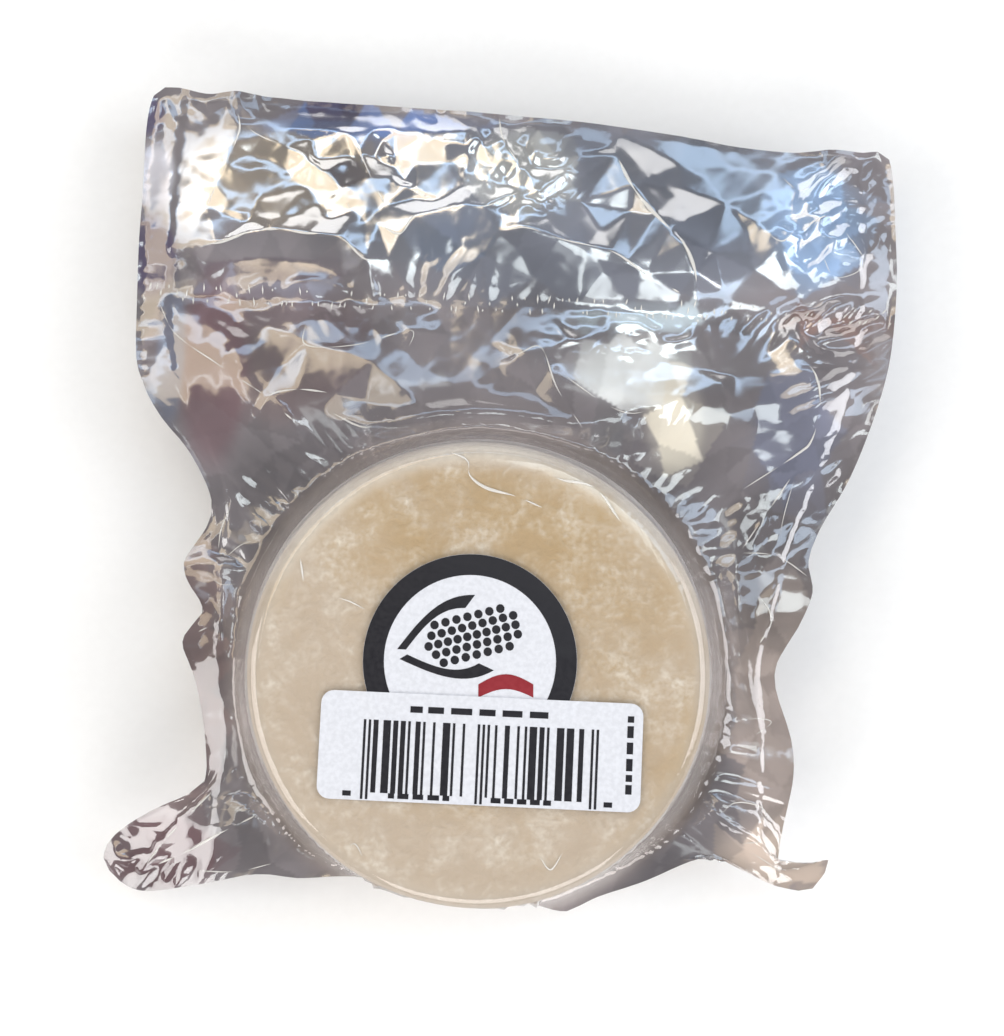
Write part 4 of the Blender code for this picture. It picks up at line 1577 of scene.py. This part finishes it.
def ear_of_corn(low):
    """A plain ear of corn lying across the label: rows of kernels and two long husk leaves."""
    parts = []
    middle, turn = ROUND_AT + Vector((0.5, 6.0)), math.radians(14)
    for row in range(-2, 3):
        reach = 11.8 * math.sqrt(1 - (row / 3.3) ** 2)
        count = int(reach * 2 / 2.35)
        for i in range(count):
            place = np.array([[(-reach + (i + 0.5 + 0.25 * (row % 2)) * 2 * reach / count), row * 2.3]])
            x, y = turned(place, turn, middle)[0]
            kernel = circle_loop(1.02, 12) * (1.0, 1.04)
            parts.append(thin_plate([turned(kernel, turn, (x, y))], 0.9, low, INK))
    for side in (-1, 1):
        share = np.linspace(0, 1, 17)
        back = np.stack([-18 + 21 * share, side * (1.2 + 8.6 * np.sin(0.62 * math.pi * share))], 1)
        inner = np.stack([-16 + 16 * share, side * (0.6 + 6.6 * np.sin(0.62 * math.pi * share))], 1)
        leaf = np.vstack([back, inner[::-1]]) if side > 0 else np.vstack([inner, back[::-1]])
        leaf = leaf[::-1]
        parts.append(thin_plate([turned(leaf, turn, middle)], 1.6, low, INK))
    return parts


def accent_ribbon(low):
    """A short dark-red ribbon under the ear of corn."""
    share = np.linspace(0, 1, 13)
    upper = np.stack([2 + 13 * share, -5.5 + 2.4 * np.sin(math.pi * share)], 1)
    lower = np.stack([2 + 13 * share, -8.6 + 2.0 * np.sin(math.pi * share)], 1)
    loop = np.vstack([lower, upper[::-1]])
    return [thin_plate([loop + np.array(ROUND_AT[:])], 1.2, low, INK)]


def print_stamps(name, stamps, cuts, low, material):
    """Blocks of print from (middle, size, turn) on the bar label, bent to lie on its face."""
    maker, tree = stamp_tree()
    places, sizes, turns = [], [], []
    for (x, y), (wide, tall), turn in stamps:
        at = turned(np.array([[x, y]]), CODE_TURN, CODE_AT)[0]
        places.append((at[0] * MM, at[1] * MM, 0.0))
        sizes.append((wide * MM, tall * MM, 1.0))
        turns.append((0.0, 0.0, turn + CODE_TURN))
    values = {"Thickness": INK * MM, "Cuts": cuts, "Material": material}
    piece = apply_tree(name, points_mesh(name + "_points", places, sizes, turns), maker, tree, values)
    points = np.empty(len(piece.data.vertices) * 3)
    piece.data.vertices.foreach_get("co", points)
    points = points.reshape(-1, 3)
    x, y = points[:, 0] / MM, points[:, 1] / MM
    points[:, 2] += (low(x, y) + PAPER + INK / 2) * MM
    piece.data.vertices.foreach_set("co", points.ravel())
    piece.data.update()
    return settle(piece)


def bar_stamps(rng):
    """A made-up bar pattern with taller bars at its ends and middle."""
    module = BARS_WIDE / BAR_MODULES
    guards = [0, 2, 46, 48, 92, 94]
    stamps, at = [], 4
    for start in guards:
        length = BAR_LENGTH + GUARD_EXTRA
        middle = -BARS_WIDE / 2 + (start + 0.5) * module
        stamps.append(((middle, BAR_TOP - length / 2), (module, length), 0.0))
    while at < BAR_MODULES - 5:
        wide = int(rng.choice([1, 1, 2, 2, 3]))
        space = int(rng.choice([1, 1, 2, 3]))
        clear = all(at + wide < guard - 1 or at > guard + 1 for guard in guards)
        if clear:
            middle = -BARS_WIDE / 2 + (at + wide / 2) * module
            stamps.append(((middle, BAR_TOP - BAR_LENGTH / 2), (wide * module, BAR_LENGTH), 0.0))
        at += wide + space
    return stamps


def dash_row(middle, width, height, count, turn, rng):
    """A row of short dashes in place of small print."""
    shares = rng.uniform(0.6, 1.4, count)
    shares *= width / shares.sum()
    stamps, at = [], -width / 2
    for share in shares:
        offset = at + share / 2
        place = (middle[0] + offset * math.cos(turn), middle[1] + offset * math.sin(turn))
        stamps.append((place, (share * 0.72, height), turn))
        at += share
    return stamps


# ---------------------------------------------------------------- settings


def colour_property(name, description, default):
    return bpy.props.FloatVectorProperty(name=name, description=description, subtype="COLOR", size=3, min=0.0,
                                         max=1.0, default=default)


def length_property(name, description, default):
    return bpy.props.FloatProperty(name=name, description=description, unit="LENGTH", default=default)


def strength_property(name, description, default):
    return bpy.props.FloatProperty(name=name, description=description, default=default)


class PouchSettings(bpy.types.PropertyGroup):
    film_width: length_property("Film Width", "Width of the flat film", 203.2 * MM)
    film_length: length_property("Film Length", "Length of the flat film along the pouch", 246.0 * MM)
    side_seal_width: length_property("Side Seal", "Width of the seal down each side", 9.5 * MM)
    crimp_spacing: length_property("Crimp Spacing", "Between the crimps of the heat seal", 1.7 * MM)
    film_shine: strength_property("Film Shine", "How strongly the two faces of the film mirror", 1.1)
    # also the colour of the painted sheen over the far half of the stack's rim
    haze_and_sheen_colour: colour_property("Haze", "Colour of sealed and folded film", (0.60, 0.56, 0.55))


class CakeSettings(bpy.types.PropertyGroup):
    cake_rounding: length_property("Edge Rounding", "Roundness of a cake's edge", 4.6 * MM)
    dough_colour: colour_property("Dough", "Cooked corn dough", (0.48, 0.403, 0.32))
    toasted_colour: colour_property("Toasted", "Toasted patches", (0.44, 0.327, 0.187))
    bloom_colour: colour_property("Bloom", "Pale floury bloom", (0.655, 0.615, 0.55))


class LabelSettings(bpy.types.PropertyGroup):
    paper_colour: colour_property("Paper", "White label paper", (0.77, 0.785, 0.84))
    ink_colour: colour_property("Ink", "Black print", (0.012, 0.011, 0.016))
    accent_colour: colour_property("Accent", "Dark-red print", (0.30, 0.02, 0.03))


class StageSettings(bpy.types.PropertyGroup):
    floor_colour: colour_property("Floor", "Pale floor", (0.97, 0.97, 0.97))
    room_light: strength_property("Room Light", "Strength of the light from all round", 0.3)


# ---------------------------------------------------------------- operators


class CORNPACK_OT_stage(bpy.types.Operator):
    """Set up the floor, the light panels and the camera"""

    bl_idname = "cornpack.stage"
    bl_label = "Stage"

    def execute(self, context):
        settings = context.scene.cornpack_stage
        bpy.ops.mesh.primitive_plane_add(size=FLOOR_SIZE)
        floor = context.object
        floor.name = "floor"
        floor.data.materials.append(floor_material(settings))
        for name, place, size, brightness, colour in PANELS:
            light = bpy.data.lights.new(name, "AREA")
            light.shape = "RECTANGLE"
            light.size, light.size_y = size[0] * MM, size[1] * MM
            light.energy = brightness * math.pi * light.size * light.size_y
            light.color = colour
            lamp = bpy.data.objects.new(name, light)
            lamp.location = Vector(place) * MM
            lamp.rotation_euler = lamp.location.to_track_quat("Z", "Y").to_euler()
            context.scene.collection.objects.link(lamp)
        world = bpy.data.worlds.new("room")
        world.use_nodes = True
        background = world.node_tree.nodes["Background"]
        background.inputs["Color"].default_value = ROOM_COLOUR
        background.inputs["Strength"].default_value = settings.room_light
        context.scene.world = world
        lens = bpy.data.cameras.new("camera")
        lens.lens = CAMERA_LENS
        lens.clip_start = NEAREST_SEEN
        camera = bpy.data.objects.new("camera", lens)
        camera.location = Vector(CAMERA_AT) * MM
        camera.rotation_euler = (CAMERA_TILT, 0.0, 0.0)
        context.scene.collection.objects.link(camera)
        context.scene.camera = camera
        context.scene.view_settings.view_transform = "Standard"
        return {"FINISHED"}


class CORNPACK_OT_cakes(bpy.types.Operator):
    """Make the stack of corn cakes"""

    bl_idname = "cornpack.cakes"
    bl_label = "Corn Cakes"

    def execute(self, context):
        settings = context.scene.cornpack_cakes
        rng = np.random.default_rng(SEED + 4)
        material = dough_material(settings)
        for index in range(CAKE_COUNT):
            make_cake(index, settings, material, rng)
        return {"FINISHED"}


class CORNPACK_OT_pouch(bpy.types.Operator):
    """Draw both films down round the stack, with their creases and the heat seal"""

    bl_idname = "cornpack.pouch"
    bl_label = "Pouch"

    def execute(self, context):
        settings = context.scene.cornpack_pouch
        tree = make_films(settings)
        make_crease_ridges(tree)
        make_seal_ribs(tree, settings)
        return {"FINISHED"}


class CORNPACK_OT_round_label(bpy.types.Operator):
    """Make the round label, its ring and its plain ear of corn"""

    bl_idname = "cornpack.round_label"
    bl_label = "Round Label"

    def execute(self, context):
        settings = context.scene.cornpack_labels
        paper = paper_material("label_paper_round", settings.paper_colour, *PAPER_FINISH)
        ink = paper_material("label_ink_round", settings.ink_colour, *INK_FINISH)
        accent = paper_material("label_accent", settings.accent_colour, *ACCENT_FINISH)

        def face(x, y):
            return round_low(x, y) + PAPER

        disc = circle_loop(ROUND_RADIUS, 120, ROUND_AT)
        label = make_plates("round_label_paper", [thin_plate([disc], LABEL_STEP, round_low, PAPER)], paper)
        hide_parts("round_label")
        rings = [circle_loop(ROUND_RADIUS - 0.05, 120, ROUND_AT),
                 circle_loop(ROUND_RADIUS - RING_WIDTH, 100, ROUND_AT)]
        make_plates("round_label_print", [thin_plate(rings, LABEL_STEP, face, INK)] + ear_of_corn(face), ink)
        make_plates("round_label_accent", accent_ribbon(face), accent)
        return {"FINISHED"}


class CORNPACK_OT_code_label(bpy.types.Operator):
    """Make the bar label and its made-up print"""

    bl_idname = "cornpack.code_label"
    bl_label = "Bar Label"

    def execute(self, context):
        settings = context.scene.cornpack_labels
        rng = np.random.default_rng(SEED + 5)
        paper = paper_material("label_paper_code", settings.paper_colour, *PAPER_FINISH)
        ink = paper_material("label_ink_code", settings.ink_colour, *INK_FINISH)
        loop = turned(rounded_box(*CODE_SIZE, CODE_CORNER, LABEL_STEP), CODE_TURN, CODE_AT)
        label = make_plates("code_label_paper", [thin_plate([loop], LABEL_STEP, code_low, PAPER)], paper)
        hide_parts("code_label")
        print_stamps("code_label_bars", bar_stamps(rng), 14, code_low, ink)
        dashes = dash_row((-0.5, 9.0), 34.0, 1.5, 6, 0.0, rng)
        dashes += dash_row((-14.0, -11.4), 15.0, 1.2, 5, 0.0, rng)
        dashes += dash_row((10.0, -11.4), 15.0, 1.2, 5, 0.0, rng)
        dashes += [((-31.0, -11.2), (2.0, 1.2), 0.0), ((30.5, -11.2), (2.0, 1.2), 0.0)]
        dashes += dash_row((35.2, 0.5), 19.0, 1.5, 6, math.pi / 2, rng)
        print_stamps("code_label_dashes", dashes, 3, code_low, ink)
        return {"FINISHED"}


# ---------------------------------------------------------------- panel


class CORNPACK_PT_panel(bpy.types.Panel):
    """Lists the pieces of the pack with their sizes and colours"""

    bl_idname = "CORNPACK_PT_panel"
    bl_label = "Vacuum Pack of Corn Cakes"
    bl_space_type = "VIEW_3D"
    bl_region_type = "UI"
    bl_category = "Corn Cakes"

    def draw(self, context):
        groups = (
            (context.scene.cornpack_stage, (CORNPACK_OT_stage,)),
            (context.scene.cornpack_cakes, (CORNPACK_OT_cakes,)),
            (context.scene.cornpack_pouch, (CORNPACK_OT_pouch,)),
            (context.scene.cornpack_labels, (CORNPACK_OT_round_label, CORNPACK_OT_code_label)),
        )
        for settings, makers in groups:
            box = self.layout.box()
            for name in settings.bl_rna.properties.keys():
                if name not in ("rna_type", "name"):
                    box.prop(settings, name)
            for maker in makers:
                box.operator(maker.bl_idname)


SETTINGS = {
    "cornpack_pouch": PouchSettings,
    "cornpack_cakes": CakeSettings,
    "cornpack_labels": LabelSettings,
    "cornpack_stage": StageSettings,
}
MAKERS = (CORNPACK_OT_stage, CORNPACK_OT_cakes, CORNPACK_OT_pouch, CORNPACK_OT_round_label,
          CORNPACK_OT_code_label)


def register():
    for name, group in SETTINGS.items():
        bpy.utils.register_class(group)
        setattr(bpy.types.Scene, name, bpy.props.PointerProperty(type=group))
    for maker in MAKERS:
        bpy.utils.register_class(maker)
    bpy.utils.register_class(CORNPACK_PT_panel)


def unregister():
    bpy.utils.unregister_class(CORNPACK_PT_panel)
    for maker in reversed(MAKERS):
        bpy.utils.unregister_class(maker)
    for name, group in reversed(SETTINGS.items()):
        delattr(bpy.types.Scene, name)
        bpy.utils.unregister_class(group)


def main():
    register()
    bpy.ops.cornpack.stage()
    bpy.ops.cornpack.cakes()
    bpy.ops.cornpack.pouch()
    bpy.ops.cornpack.round_label()
    bpy.ops.cornpack.code_label()


if __name__ == "__main__":
    main()
